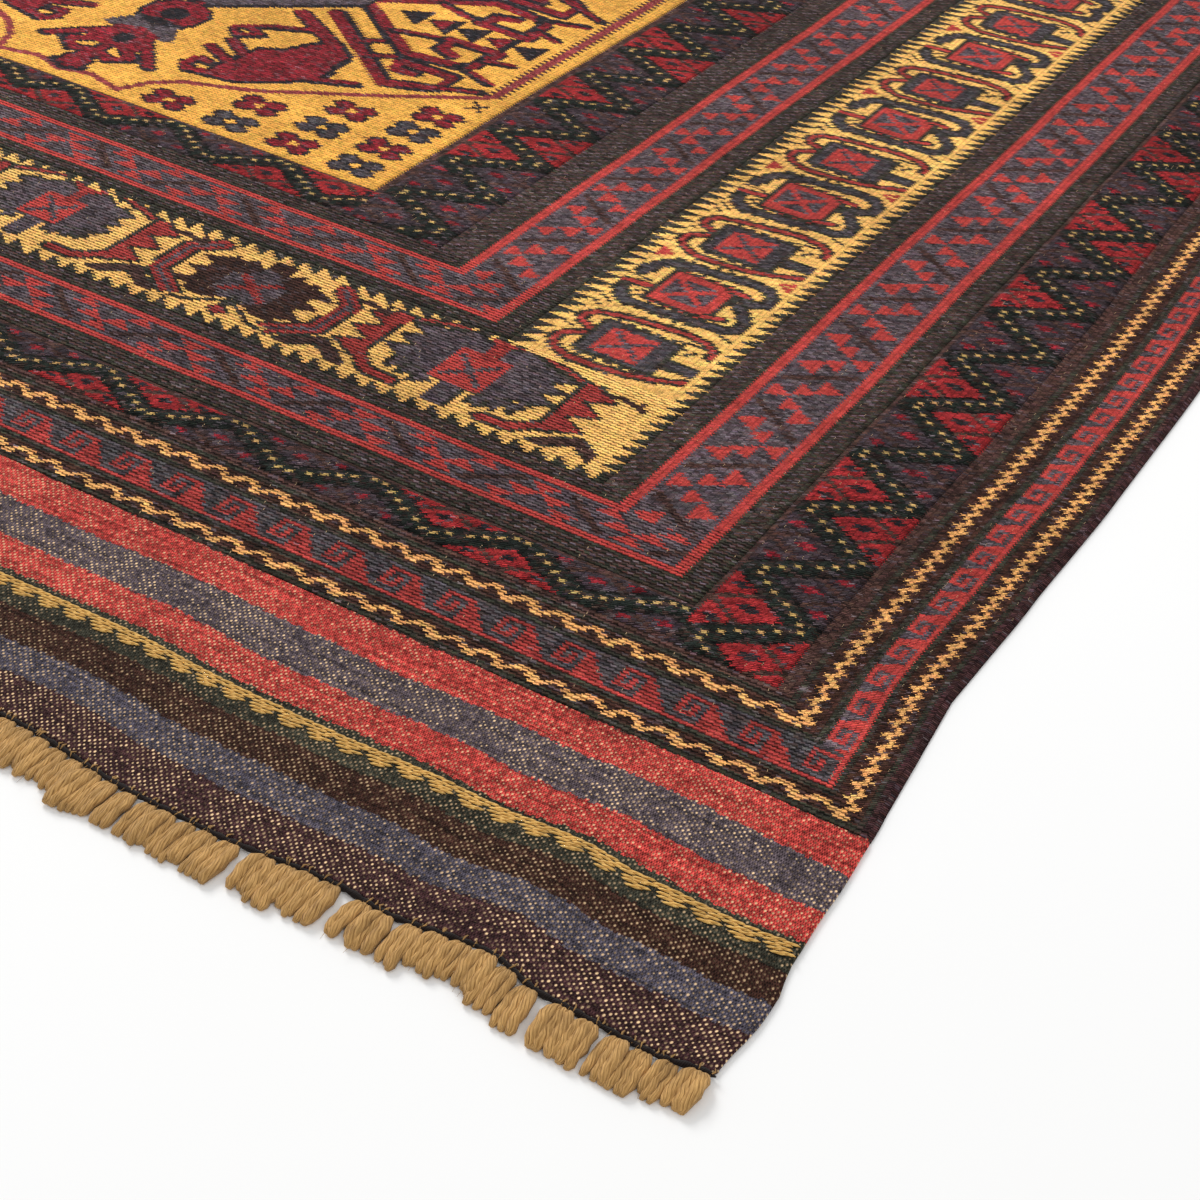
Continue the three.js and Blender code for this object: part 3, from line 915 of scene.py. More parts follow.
def spun(cells, rng):
    """Colours of the strokes: each yarn's colour times noise from stroke to stroke, from row to row and
    in slow dye-lot waves along the warp. Dark yarns vary most, and hold strokes of their neighbours'
    shades and a few pale ones."""
    table = yarn_table()
    colour = table[cells]
    rows, cols = cells.shape
    bright = colour.sum(axis=2)
    dark = bright < 0.26
    chance = rng.random(cells.shape)
    shade = table[[Y["plum"], Y["slate"], Y["brown"], Y["umber"]]][rng.integers(0, 4, cells.shape)]
    pale = table[Y["slate"]] * 1.9
    pinch = np.where(dark & (chance < 0.35), 0.5, 0.0)[..., None]
    colour = colour * (1 - pinch) + shade * pinch
    fleck = np.where((bright < 0.5) & (chance > 0.99), 0.5, 0.0)[..., None]
    colour = colour * (1 - fleck) + pale * fleck
    amount = np.where(dark, 0.5, np.where(bright < 0.5, 0.32, 0.17))
    amount = np.where(cells == Y["straw"], 0.1, amount)
    fine = np.exp(amount * np.minimum(rng.standard_normal(cells.shape), 1.1))
    line = 1 + 0.07 * rng.standard_normal((rows, 1))
    at = np.arange(rows)[:, None] / 2
    across = np.arange(cols)[None, :]
    slow = 1 + 0.08 * np.sin(at / 17 + 1.3 * np.sin(at / 41 + 0.5)) + 0.06 * np.sin(across / 23 + at / 31)
    tint = 1 + 0.05 * rng.standard_normal(cells.shape + (3,))
    return np.clip(colour * (fine * line * slow)[..., None] * tint, 0.002, 1)


def corners_of(groups):
    """Point numbers of all corners of groups of faces, in the mesh's order."""
    return np.concatenate([group.ravel() for group in groups])


def listed(*grids):
    """Grids of numbers, stretched to one shape, as a list with one row for each place in the grid."""
    return np.stack(np.broadcast_arrays(*grids), axis=-1).reshape(-1, len(grids))


def quads_of(number):
    """The quads between the points of a grid of point numbers."""
    return listed(number[:-1, :-1], number[:-1, 1:], number[1:, 1:], number[1:, :-1])


def mesh_from(name, points, groups, flat_from=1):
    """A mesh in metres from points in millimetres. groups are arrays of faces, each with its own number
    of corners; those from number flat_from on are shaded flat."""
    mesh = bpy.data.meshes.new(name)
    corners = corners_of(groups).astype(np.int32)
    counts = np.concatenate([np.full(len(group), group.shape[1]) for group in groups])
    mesh.vertices.add(len(points))
    mesh.vertices.foreach_set("co", (np.asarray(points) * MM).ravel())
    mesh.loops.add(len(corners))
    mesh.loops.foreach_set("vertex_index", corners)
    mesh.polygons.add(len(counts))
    mesh.polygons.foreach_set("loop_start", starts(counts)[:-1].astype(np.int32))
    smooth_shaded = np.arange(len(groups)) < flat_from
    mesh.update(calc_edges=True)
    mesh.polygons.foreach_set("use_smooth", np.repeat(smooth_shaded, [len(group) for group in groups]))
    mesh.update()
    return mesh


def give_map(mesh, name, corners):
    """A UV map from one pair of numbers for each corner."""
    mesh.uv_layers.new(name=name).uv.foreach_set("vector", np.asarray(corners, np.float32).ravel())


def give_colours(mesh, name, faces):
    """A colour attribute from one linear colour for each face."""
    layer = mesh.attributes.new(name, "FLOAT_COLOR", "FACE")
    rgba = np.ones((len(faces), 4), np.float32)
    rgba[:, :3] = faces
    layer.data.foreach_set("color", rgba.ravel())


def finish_piece(name, mesh, material, slot, *nodes):
    """Makes the object of a piece: its material, its body and the CAD nodes that it stands for. slot is
    not used."""
    piece = bpy.data.objects.new(name, mesh)
    bpy.context.scene.collection.objects.link(piece)
    mesh.materials.append(material)
    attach(piece, "root")
    if nodes:
        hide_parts(*nodes)
    return piece


class Body:
    """The stitched body: points of the whole grid in millimetres, and colours of its strokes, two to a
    quad."""

    def __init__(self):
        sizes = bpy.context.scene.rug_sizes
        chart = make_chart()
        rng = np.random.default_rng(SEED)
        self.rows, self.cols = ROWS, 2 * COLS
        self.colour = spun(whole(chart.yarn), rng)
        band, at_end = band_of_quads()
        self.at_end = whole(at_end)
        thick = np.array([each[4] for each in BANDS])[band]
        # a lift of up to 1.5 is a triangle's puff, and one from 2 to 3 is the ribbon
        lift = np.maximum(chart.lift[::2], chart.lift[1::2])
        lift = np.where(lift >= 2, (lift - 2) * sizes.ribbon / MM, lift / 1.5 * sizes.puff / MM)
        height = whole(thick + lift)
        height = height + 0.12 * rng.standard_normal(height.shape)
        padded = np.pad(height, 1, mode="edge")
        corner = (padded[:-1, :-1] + padded[1:, :-1] + padded[:-1, 1:] + padded[1:, 1:]) / 4
        # the body's rims are thin and come down to the plain ends
        for side in (corner[:, :3], corner[:, :-4:-1]):
            side[...] = np.minimum(side, [0.5, 3.3, 3.9])
        for end in (corner[:2], corner[:-3:-1]):
            end[...] = np.minimum(end, [[SKIRT_THICK + 0.1], [3.6]])
        y_half = ROW_EDGE[::2]
        x = np.concatenate([COL_EDGE - HALF_WIDE, (HALF_WIDE - COL_EDGE[:-1])[::-1]])
        y = np.concatenate([y_half - HALF_LONG, (HALF_LONG - y_half[:-1])[::-1]])
        x, y = np.meshgrid(x, y)
        px, py = place(x, y)
        from_rim = np.minimum(HALF_WIDE - np.abs(x), HALF_LONG - np.abs(y))
        fade = smooth(clamp01(from_rim / 60))
        px = px + 1.3 * fade * ripple(x + 400, y)
        py = py + 1.3 * fade * ripple(y + 900, x)
        corner = corner + 0.35 * smooth(clamp01(from_rim / 25)) * (1 + ripple(y, x + 50))
        self.points = listed(px, py, corner)

    def corner(self, row, col):
        """The number of a grid point."""
        return row * (self.cols + 1) + col

    def strokes(self, row, col, up, right=0):
        """Colours of the strokes that lie up strokes above the lower one of each quad, and right
        stitches beside it."""
        r = np.clip(2 * row + up, 0, 2 * self.rows - 1)
        return self.colour[r, np.clip(col + right, 0, self.cols - 1)]


def rectangle(body, r0, r1, c0, c1):
    """Point numbers along the four sides of a rectangle of cells, anticlockwise from above."""
    col, row = np.arange(c0, c1 + 1), np.arange(r0, r1 + 1)
    return [body.corner(r0, col), body.corner(row, c1), body.corner(r1, col[::-1]),
            body.corner(row[::-1], c0)]


def skirting(sides, first, pieces):
    """Walls from a closed loop of rim points down to a coarser loop of bottom points numbered from
    first: one triangle for each rim step, and one more where the bottom moves on to its next point."""
    faces, picked = [], []
    total = pieces * len(sides)
    for number, side in enumerate(sides):
        steps = len(side) - 1
        cuts = np.round(np.linspace(0, steps, pieces + 1)).astype(int)
        step = np.arange(steps)
        group = np.searchsorted(cuts, step, side="right") - 1
        here = first + (number * pieces + group) % total
        faces.append(np.stack([side[step + 1], side[step], here], axis=1))
        ends = cuts[1:]
        below = first + number * pieces + np.arange(pieces)
        beside = first + (number * pieces + np.arange(1, pieces + 1)) % total
        faces.append(np.stack([side[ends], below, beside], axis=1))
        picked.append(side[cuts[:-1]])
    return np.concatenate(faces), np.concatenate(picked)


def ring_piece(body, band, material):
    """One band as a closed ring: a quad for each stitch on top, walls down to a flat hidden
    underside."""
    name = BANDS[band][0]
    r0, c0 = int(ROW_START[band]) // 2, int(COL_START[band])
    keep = np.zeros((body.rows, body.cols), bool)
    keep[r0:body.rows - r0, c0:body.cols - c0] = True
    last = band == len(BANDS) - 1
    if not last:
        r1, c1 = int(ROW_START[band + 1]) // 2, int(COL_START[band + 1])
        keep[r1:body.rows - r1, c1:body.cols - c1] = False
    row, col = np.nonzero(keep)
    top = listed(body.corner(row, col), body.corner(row, col + 1), body.corner(row + 1, col + 1),
                 body.corner(row + 1, col))
    pieces = WALL_PIECES
    bottom_z = GUARD_SUNK if band == 0 else SUNK
    base = len(body.points)
    outer = rectangle(body, r0, body.rows - r0, c0, body.cols - c0)
    walls, under = skirting(outer, base, pieces)
    count = 4 * pieces
    if last:
        groups = [top, walls, (base + np.arange(count)[::-1])[None, :]]
        lower = under
    else:
        inner = rectangle(body, r1, body.rows - r1, c1, body.cols - c1)
        inner_walls, inner_under = skirting(inner, base + count, pieces)
        walls = np.concatenate([walls, inner_walls[:, ::-1]])
        j = np.arange(count)
        k = (j + 1) % count
        floor = listed(base + j, base + count + j, base + count + k, base + k)
        groups = [top, walls, floor]
        lower = np.concatenate([under, inner_under])
    points = np.concatenate([body.points, body.points[lower] * [1, 1, 0] + [0, 0, bottom_z]])
    # only the points in use, numbered afresh
    used, fresh = np.unique(corners_of(groups), return_inverse=True)
    split = np.split(fresh, np.cumsum([group.size for group in groups])[:-1])
    groups = [part.reshape(group.shape) for part, group in zip(split, groups)]
    mesh = mesh_from(name, points[used], groups)
    # map of the stitches: whole numbers at the grid's points. Along the body's long edges a wall's foot
    # lies a stitch aside
    hidden = used >= base
    source = np.concatenate([np.arange(base), lower])[used]
    corner_col = source % (body.cols + 1)
    corner_row = source // (body.cols + 1)
    aside = np.where(corner_col == 0, -1.0, np.where(corner_col == body.cols, 1.0, 0.0))
    stitch = listed(corner_col + hidden * aside, corner_row * 1.0)
    order = corners_of(groups)
    give_map(mesh, "stitch", stitch[order])
    # map for baking: the plan of the body, with the underside shrunk into a corner
    flat = points[used][order, :2]
    span = 2 * np.array([HALF_WIDE + BAKE_MARGIN, HALF_LONG + BAKE_MARGIN])
    bake = (flat / span + 0.5) * 0.98
    walls_end = top.size + groups[1].size
    bake[walls_end:] = 0.985 + bake[walls_end:] * 0.01
    give_map(mesh, "OFBake", bake)
    others = sum(len(group) for group in groups[1:])
    edge = np.tile(yarn_table()[Y["plum"]], (others, 1))
    for label, up, right in (("below", -1, 0), ("lower", 0, 0), ("upper", 1, 0), ("above", 2, 0),
                             ("left", 0, -1), ("right", 1, 1)):
        give_colours(mesh, label, np.concatenate([body.strokes(row, col, up, right), edge]))
    layer = mesh.attributes.new("at_end", "FLOAT", "FACE")
    at_end = np.concatenate([body.at_end[row, col], np.ones(others)])
    layer.data.foreach_set("value", at_end.astype(np.float32))
    return finish_piece(name, mesh, material, "dyed_wool")


def sheet_mesh(x, y, top, bottom):
    """A closed sheet from four grids of one shape: where its points lie, its top and its underside,
    which meet along the rim."""
    number = np.arange(x.size).reshape(x.shape)
    inner = number[1:-1, 1:-1]
    under = number.copy()
    under[1:-1, 1:-1] = x.size + np.arange(inner.size).reshape(inner.shape)
    lower = [grid[1:-1, 1:-1] for grid in (x, y, bottom)]
    return np.concatenate([listed(x, y, top), listed(*lower)]), quads_of(number), quads_of(under)[:, ::-1]


def ground_lines(reach, step, rim):
    """Grid lines from the left edge to the right: close together by the rims and even between them."""
    near = reach - np.array(rim)
    count = int(np.ceil(2 * near[-1] / step))
    middle = np.linspace(-near[-1], near[-1], count + 1)
    return np.concatenate([-near[:-1], middle, near[:-1][::-1]])


def ground_piece(material):
    """The woven sheet under the bands and the plain ends past them: flat below, thin, its rims
    rounded."""
    across = ground_lines(HALF_WIDE, 13.5, RIM)
    along = ground_lines(CLOTH_LONG, 12, RIM)
    body_inner = np.abs(along) < HALF_LONG - 40
    keep = ~body_inner | (np.arange(len(along)) % 4 == 0)
    along = along[keep]
    x, y = np.meshgrid(across, along)
    in_body = smooth(clamp01((HALF_LONG - np.abs(y)) / 12))
    px, py = place(x, y)
    tuck = 3.2 * in_body * clamp01(1 - (HALF_WIDE - np.abs(x)) / 40)
    px = px - np.sign(x) * tuck
    thick = SKIRT_THICK + (GROUND_THICK - SKIRT_THICK) * in_body
    # the wefts' turns show as small loops along the sides of the plain ends
    loops = 0.35 * np.sin(y / 0.9) * clamp01(1 - (HALF_WIDE - np.abs(x)) / 1.5) * (1 - in_body)
    px = px + np.sign(x) * loops
    side = HALF_WIDE - np.abs(x)
    end = CLOTH_LONG - np.abs(y)
    top = thick * np.interp(side, RIM, RIM_TOP) * np.interp(end, RIM, RIM_TOP)
    bottom = thick * np.maximum(np.interp(side, RIM, RIM_BOTTOM), np.interp(end, RIM, RIM_BOTTOM))
    dents = 1 + ripple(x * 2.1, y * 2.7)
    top = top + 0.3 * (1 - in_body) * clamp01(side / 20) * clamp01(end / 10) * dents
    rim = (side < 0.01) | (end < 0.01)
    top = np.where(rim, 0.45 * thick, np.maximum(top, bottom + 0.2))
    points, upper, lower = sheet_mesh(px, py, top, bottom)
    mesh = mesh_from("cloth_ground", points, [upper, lower], flat_from=2)
    # map of the wefts: metres across, and metres outward from the stitched body
    outward = np.abs(y) - HALF_LONG
    flat = np.concatenate([listed(x, outward), listed(x[1:-1, 1:-1], outward[1:-1, 1:-1])])
    give_map(mesh, "weft", flat[corners_of([upper, lower])] * MM)
    # map for baking: most of it for the plain ends that show, and a strip for the underside
    share = np.diff(along) * np.where(np.abs(along[1:]) > HALF_LONG, 1, 0.04)
    fraction = np.cumsum(np.concatenate([[0], share]))
    fraction = fraction / fraction[-1]
    bake = listed((across + HALF_WIDE) / (2 * HALF_WIDE), fraction[:, None])
    bake_top = bake * [1, 0.96]
    bake_under = bake * [1, 0.03] + [0, 0.965]
    under_quads = quads_of(np.arange(x.size).reshape(x.shape))[:, ::-1]
    give_map(mesh, "OFBake", np.concatenate([bake_top[upper.ravel()], bake_under[under_quads.ravel()]]))
    return finish_piece("cloth_ground", mesh, material, "dyed_wool", "cloth")


def end_point(x, end, outward):
    """A point on the cloth's end line, a step outward from the cloth."""
    px, py = place(x, np.full_like(x, end * CLOTH_LONG))
    return px, py + end * outward


def tube_faces(lines, sections, sides):
    """Quads round and along several like tubes whose points are numbered tube by tube, section by
    section, and an n-gon at each end."""
    tube = np.arange(lines)[:, None, None] * sections * sides
    section = np.arange(sections - 1)[None, :, None] * sides
    side = np.arange(sides)[None, None, :]
    beside = (side + 1) % sides
    here = tube + section
    quads = listed(here + side, here + beside, here + sides + beside, here + sides + side)
    first = tube[:, :, 0] + np.arange(sides)[None, ::-1]
    last = tube[:, :, 0] + (sections - 1) * sides + np.arange(sides)[None, :]
    return quads, np.concatenate([first, last])


def turns_round(sides, start=0.0):
    """Angles of the corners of a tube's section."""
    return (np.arange(sides) + start) / sides * 2 * np.pi


def cord_piece(end, label, material):
    """The twined cord of one end: a section with two lobes that turns as it runs along the cloth's end
    line."""
    radius = bpy.context.scene.rug_sizes.cord_radius / MM
    sides = 8
    run = HALF_WIDE + 1
    steps = int(2 * run / CORD_STEP)
    s = np.linspace(-run, run, steps) * -end
    x, y = end_point(s, end, 0.3 + radius)
    slope = np.gradient(y, x)
    across = np.stack([-slope, np.ones_like(slope)], axis=1)
    across /= np.linalg.norm(across, axis=1)[:, None]
    angle = turns_round(sides)
    twist = s / CORD_TURN * np.pi + 0.25 * ripple(s * 3, s)
    thick = 1 + 0.16 * ripple(s * 4.3, s * 2.1) + 0.1 * (unevenness(np.arange(steps), 41) - 0.5)
    lobe = radius * thick[:, None] * (0.7 + 0.42 * np.cos(angle[None, :] - twist[:, None]) ** 2)
    closing = np.clip((run - np.abs(s)) / 2.2, 0.05, 1)[:, None] ** 0.5
    side_way = lobe * np.cos(angle) * closing
    up = lobe * np.sin(angle) * closing
    lift = radius * 1.08 + 0.25 * (1 + ripple(s * 2, s * 0.5))[:, None]
    px = x[:, None] + side_way * across[:, :1]
    py = y[:, None] + side_way * across[:, 1:]
    pz = np.maximum(lift + up, 0.05)
    groups = tube_faces(1, steps, sides)
    mesh = mesh_from("end_cord_" + label, listed(px, py, pz), groups)
    give_map(mesh, "strand", listed(angle / (2 * np.pi), s[:, None] * MM)[corners_of(groups)])
    return finish_piece("end_cord_" + label, mesh, material, "dyed_wool", "fringe_" + label)


def lock_stations():
    """Where each lock leaves the cord, as distances in from the right-hand corner."""
    stations = []
    at = 7.0
    parting = 0
    # one by one, because each parting moves all locks after it
    while at < 2 * HALF_WIDE - 5 and len(stations) < LOCKS_PER_END:
        stations.append(at)
        at += LOCK_PITCH + LOCK_PITCH_SPREAD * (unevenness(len(stations), 1) - 0.5)
        if parting < len(PARTINGS) and at > PARTINGS[parting][0]:
            at += PARTINGS[parting][1]
            parting += 1
    return np.array(stations)


def fringe_piece(end, label, material):
    """Locks of one end: three soft plies each, side by side, which swell from the cord, waver as they
    run and end blunt, with loose hairs laid over them. A ply is a tube of six sides round a wavy line.
    The arrays' axes are lock, ply, section and side."""
    sizes = bpy.context.scene.rug_sizes
    station = lock_stations()
    index = np.arange(len(station)) + (0 if end < 0 else LOCKS_PER_END)
    x, y = end_point(HALF_WIDE - station, end, 2.4)
    ply = np.arange(PLIES)[None, :, None, None]
    t = LOCK_ALONG[None, None, :, None]
    sides = 6
    angle = turns_round(sides, 0.5)[None, None, None, :]
    lock = index[:, None, None, None]
    each = lock * PLIES + ply
    long = (sizes.lock_length / MM + 2.5 + LOCK_LONG_SPREAD * (unevenness(lock, 2) - 0.5)
            - 5.0 * unevenness(each, 5) * (unevenness(lock, 6) > 0.35))
    slant = LOCK_SLANT * (unevenness(lock, 3) - 0.5) + 2.6 * (unevenness(each, 8) - 0.5)
    wide = sizes.lock_width / MM * (0.86 + 0.28 * unevenness(lock, 11))
    thin = 0.86 + 0.3 * unevenness(each, 10)
    radius = wide * 0.205 * LOCK_RADIUS[None, None, :, None] * thin
    run = long * t
    beat = 2 * np.pi * (run / (11 + 5 * unevenness(each, 12)) + unevenness(each, 13))
    spread = wide * (0.19 + 0.13 * smooth(clamp01(t * 3)) - 0.03 * t)
    sway = 0.55 * np.sin(beat) * clamp01(4 * t)
    mid_x = x[:, None, None, None] + (ply - 1) * spread + slant * t ** 1.4 + sway
    mid_y = y[:, None, None, None] + end * run
    on_top = np.where(unevenness(each, 14) > 0.6, 1.0, 0.0) * np.sin(np.pi * clamp01(t * 1.2))
    mid_z = 0.1 + radius * 0.74 + 1.3 * on_top + 0.3 * (1 + np.cos(beat)) * clamp01(3 * t) * (1 - t)
    crown = radius * (1 + 0.05 * np.cos(2 * angle + beat))
    px = mid_x + crown * np.cos(angle) * -end
    pz = np.maximum(mid_z + crown * 0.74 * np.sin(angle), 0.05)
    points = listed(px, mid_y, pz)
    flat = listed(angle / (2 * np.pi) + each, run * MM + beat * 0.0004)
    quads, caps = tube_faces(len(station) * PLIES, len(LOCK_ALONG), sides)
    hair_points, hair_quads, hair_caps, hair_flat = loose_hairs(index, x, y, end, sizes)
    groups = [quads, hair_quads + len(points), caps, hair_caps + len(points)]
    mesh = mesh_from("fringe_locks_" + label, np.concatenate([points, hair_points]), groups, flat_from=2)
    give_map(mesh, "strand", np.concatenate([flat, hair_flat])[corners_of(groups)])
    return finish_piece("fringe_locks_" + label, mesh, material, "camel_wool", "fringe_" + label)


def loose_hairs(index, x, y, end, sizes):
    """Fine bent ends of yarn, three sides and three sections each. The first two of a lock cross the
    end cord, and the others lie over the lock and stray a little at their tips."""
    lock = np.repeat(index, HAIRS)
    number = np.arange(len(lock)) + index[0] * HAIRS
    crossing = (np.arange(len(lock)) % HAIRS < 2)[:, None, None]
    at_x, at_y = np.repeat(x, HAIRS)[:, None, None], np.repeat(y, HAIRS)[:, None, None]
    wide, reach_of_lock = sizes.lock_width / MM, sizes.lock_length / MM
    side = ((unevenness(number, 31) - 0.5) * wide * 0.9)[:, None, None]
    begin = np.where(crossing, -4.4, (unevenness(number, 32) * 0.5)[:, None, None] * reach_of_lock)
    long = reach_of_lock * (0.4 + 0.45 * unevenness(number, 33))[:, None, None]
    long = np.where(crossing, 5.6, long)
    t = np.array([0.0, 0.5, 1.0])[None, :, None]
    angle = turns_round(3)[None, None, :]
    thick = np.array([0.16, 0.22, 0.08])[None, :, None] * np.where(crossing, 3.0, 1.0)
    stray = 4.0 * (unevenness(number, 34) - 0.5)[:, None, None]
    reach = begin + long * t
    px = at_x + side * (0.8 + 0.2 * np.sin(np.pi * t)) + stray * t ** 2 + thick * np.cos(angle) * -end
    py = at_y + end * reach
    over = 0.5 + wide * 0.27 * np.clip(1.12 - reach / (reach_of_lock * 1.1), 0.1, 1) ** 0.35
    arch = SKIRT_THICK + 0.3 + np.array([0.0, 1.0, 0.4])[None, :, None]
    pz = np.where(crossing, arch, over) + thick * np.sin(angle)
    flat = listed(angle / (2 * np.pi) + number[:, None, None], reach * MM)
    return listed(px, py, pz), *tube_faces(len(lock), 3, 3), flat


def chain_piece(end, label, material):
    """Long yellow stitches laid in rows on the plain end: two whole rows, and teeth that point outward.
    Each is a spindle: sections that swell and thin again, tilted a little from the row."""
    centre_x, centre_v = [], []
    for v, first, step in CHAIN_ROWS:
        x = np.arange(-HALF_WIDE + 4 + first, HALF_WIDE - 4, step)
        centre_x.append(x)
        centre_v.append(np.full_like(x, v))
    tooth = np.arange(-HALF_WIDE + 12, HALF_WIDE - 8, CHAIN_PITCH)
    for v, shifts in CHAIN_TEETH:
        for shift in shifts:
            centre_x.append(tooth + shift)
            centre_v.append(np.full_like(tooth, v))
    x = np.concatenate(centre_x)
    v = np.concatenate(centre_v)
    number = np.arange(len(x))
    x = x + 1.2 * (unevenness(number, 21) - 0.5)
    v = v + 0.6 * (unevenness(number, 22) - 0.5)
    t = np.array([-1.0, -0.55, 0.55, 1.0])[None, :, None]
    swell = np.array([0.12, 1.0, 1.0, 0.12])[None, :, None]
    sides = 4
    angle = turns_round(sides)[None, None, :]
    half = (4.9 + 0.8 * (unevenness(number, 23) - 0.5))[:, None, None]
    way = x[:, None, None] + t * half
    out = v[:, None, None] - 0.14 * t * half
    px, py = place(way, end * (HALF_LONG + out))
    py = py + 1.12 * swell * np.cos(angle)
    pz = SKIRT_THICK + 0.45 + 0.25 * swell + 0.7 * swell * np.sin(angle)
    groups = tube_faces(len(x), 4, sides)
    mesh = mesh_from("chain_stitches_" + label, listed(px, py, pz), groups)
    flat = listed(angle / (2 * np.pi), t * half * MM + number[:, None, None])
    give_map(mesh, "strand", flat[corners_of(groups)])
    return finish_piece("chain_stitches_" + label, mesh, material, "dyed_wool")


def add(tree, kind, *links, at=(), out=0, **named):
    """Adds a node and gives its first output, or the one that out names. A dot parts its kind from its
    operation. links fill its inputs in order and at fills them by number. A named value fills the input
    of that name if it starts with a capital, and is a setting otherwise. A link is a value or another
    node's output."""
    kind, _, operation = kind.partition(".")
    node = tree.nodes.new("ShaderNode" + kind)
    if operation:
        node.operation = operation
    inputs = {**dict(enumerate(links)), **dict(at)}
    for name, value in named.items():
        if name[0].isupper():
            inputs[name] = value
        else:
            setattr(node, name, value)
    for name, value in inputs.items():
        if isinstance(value, bpy.types.NodeSocket):
            tree.links.new(value, node.inputs[name])
        else:
            node.inputs[name].default_value = value
    return node.outputs[out]


def surface(name, **numbers):
    """A new material, and a function that adds nodes to it. The numbers are set on its shader's own
    sockets."""
    material = bpy.data.materials.new(name)
    material.use_nodes = True
    for key, value in numbers.items():
        material.node_tree.nodes["Principled BSDF"].inputs[key.replace("_", " ")].default_value = value
    return material, partial(add, material.node_tree)


def cover(material, colour, **bump):
    """Joins a colour to the material's shader, and bumps if their height, strength and depth are
    given."""
    tree = material.node_tree
    shader = tree.nodes["Principled BSDF"]
    tree.links.new(colour, shader.inputs["Base Color"])
    if bump:
        tree.links.new(add(tree, "Bump", **bump), shader.inputs["Normal"])
    return material


# Wool is rough and hardly glossy, and loose fibres give some yarns a soft sheen.
WOOL = dict(Specular_IOR_Level=0.08, Sheen_Roughness=0.55)
# Settings and output of a Mix node for colours, whose inputs are 6 and 7, and the span of a noise's
# values.
BLEND = dict(data_type="RGBA", out=2)
NOISE_SPAN = (0.3, 0.7)


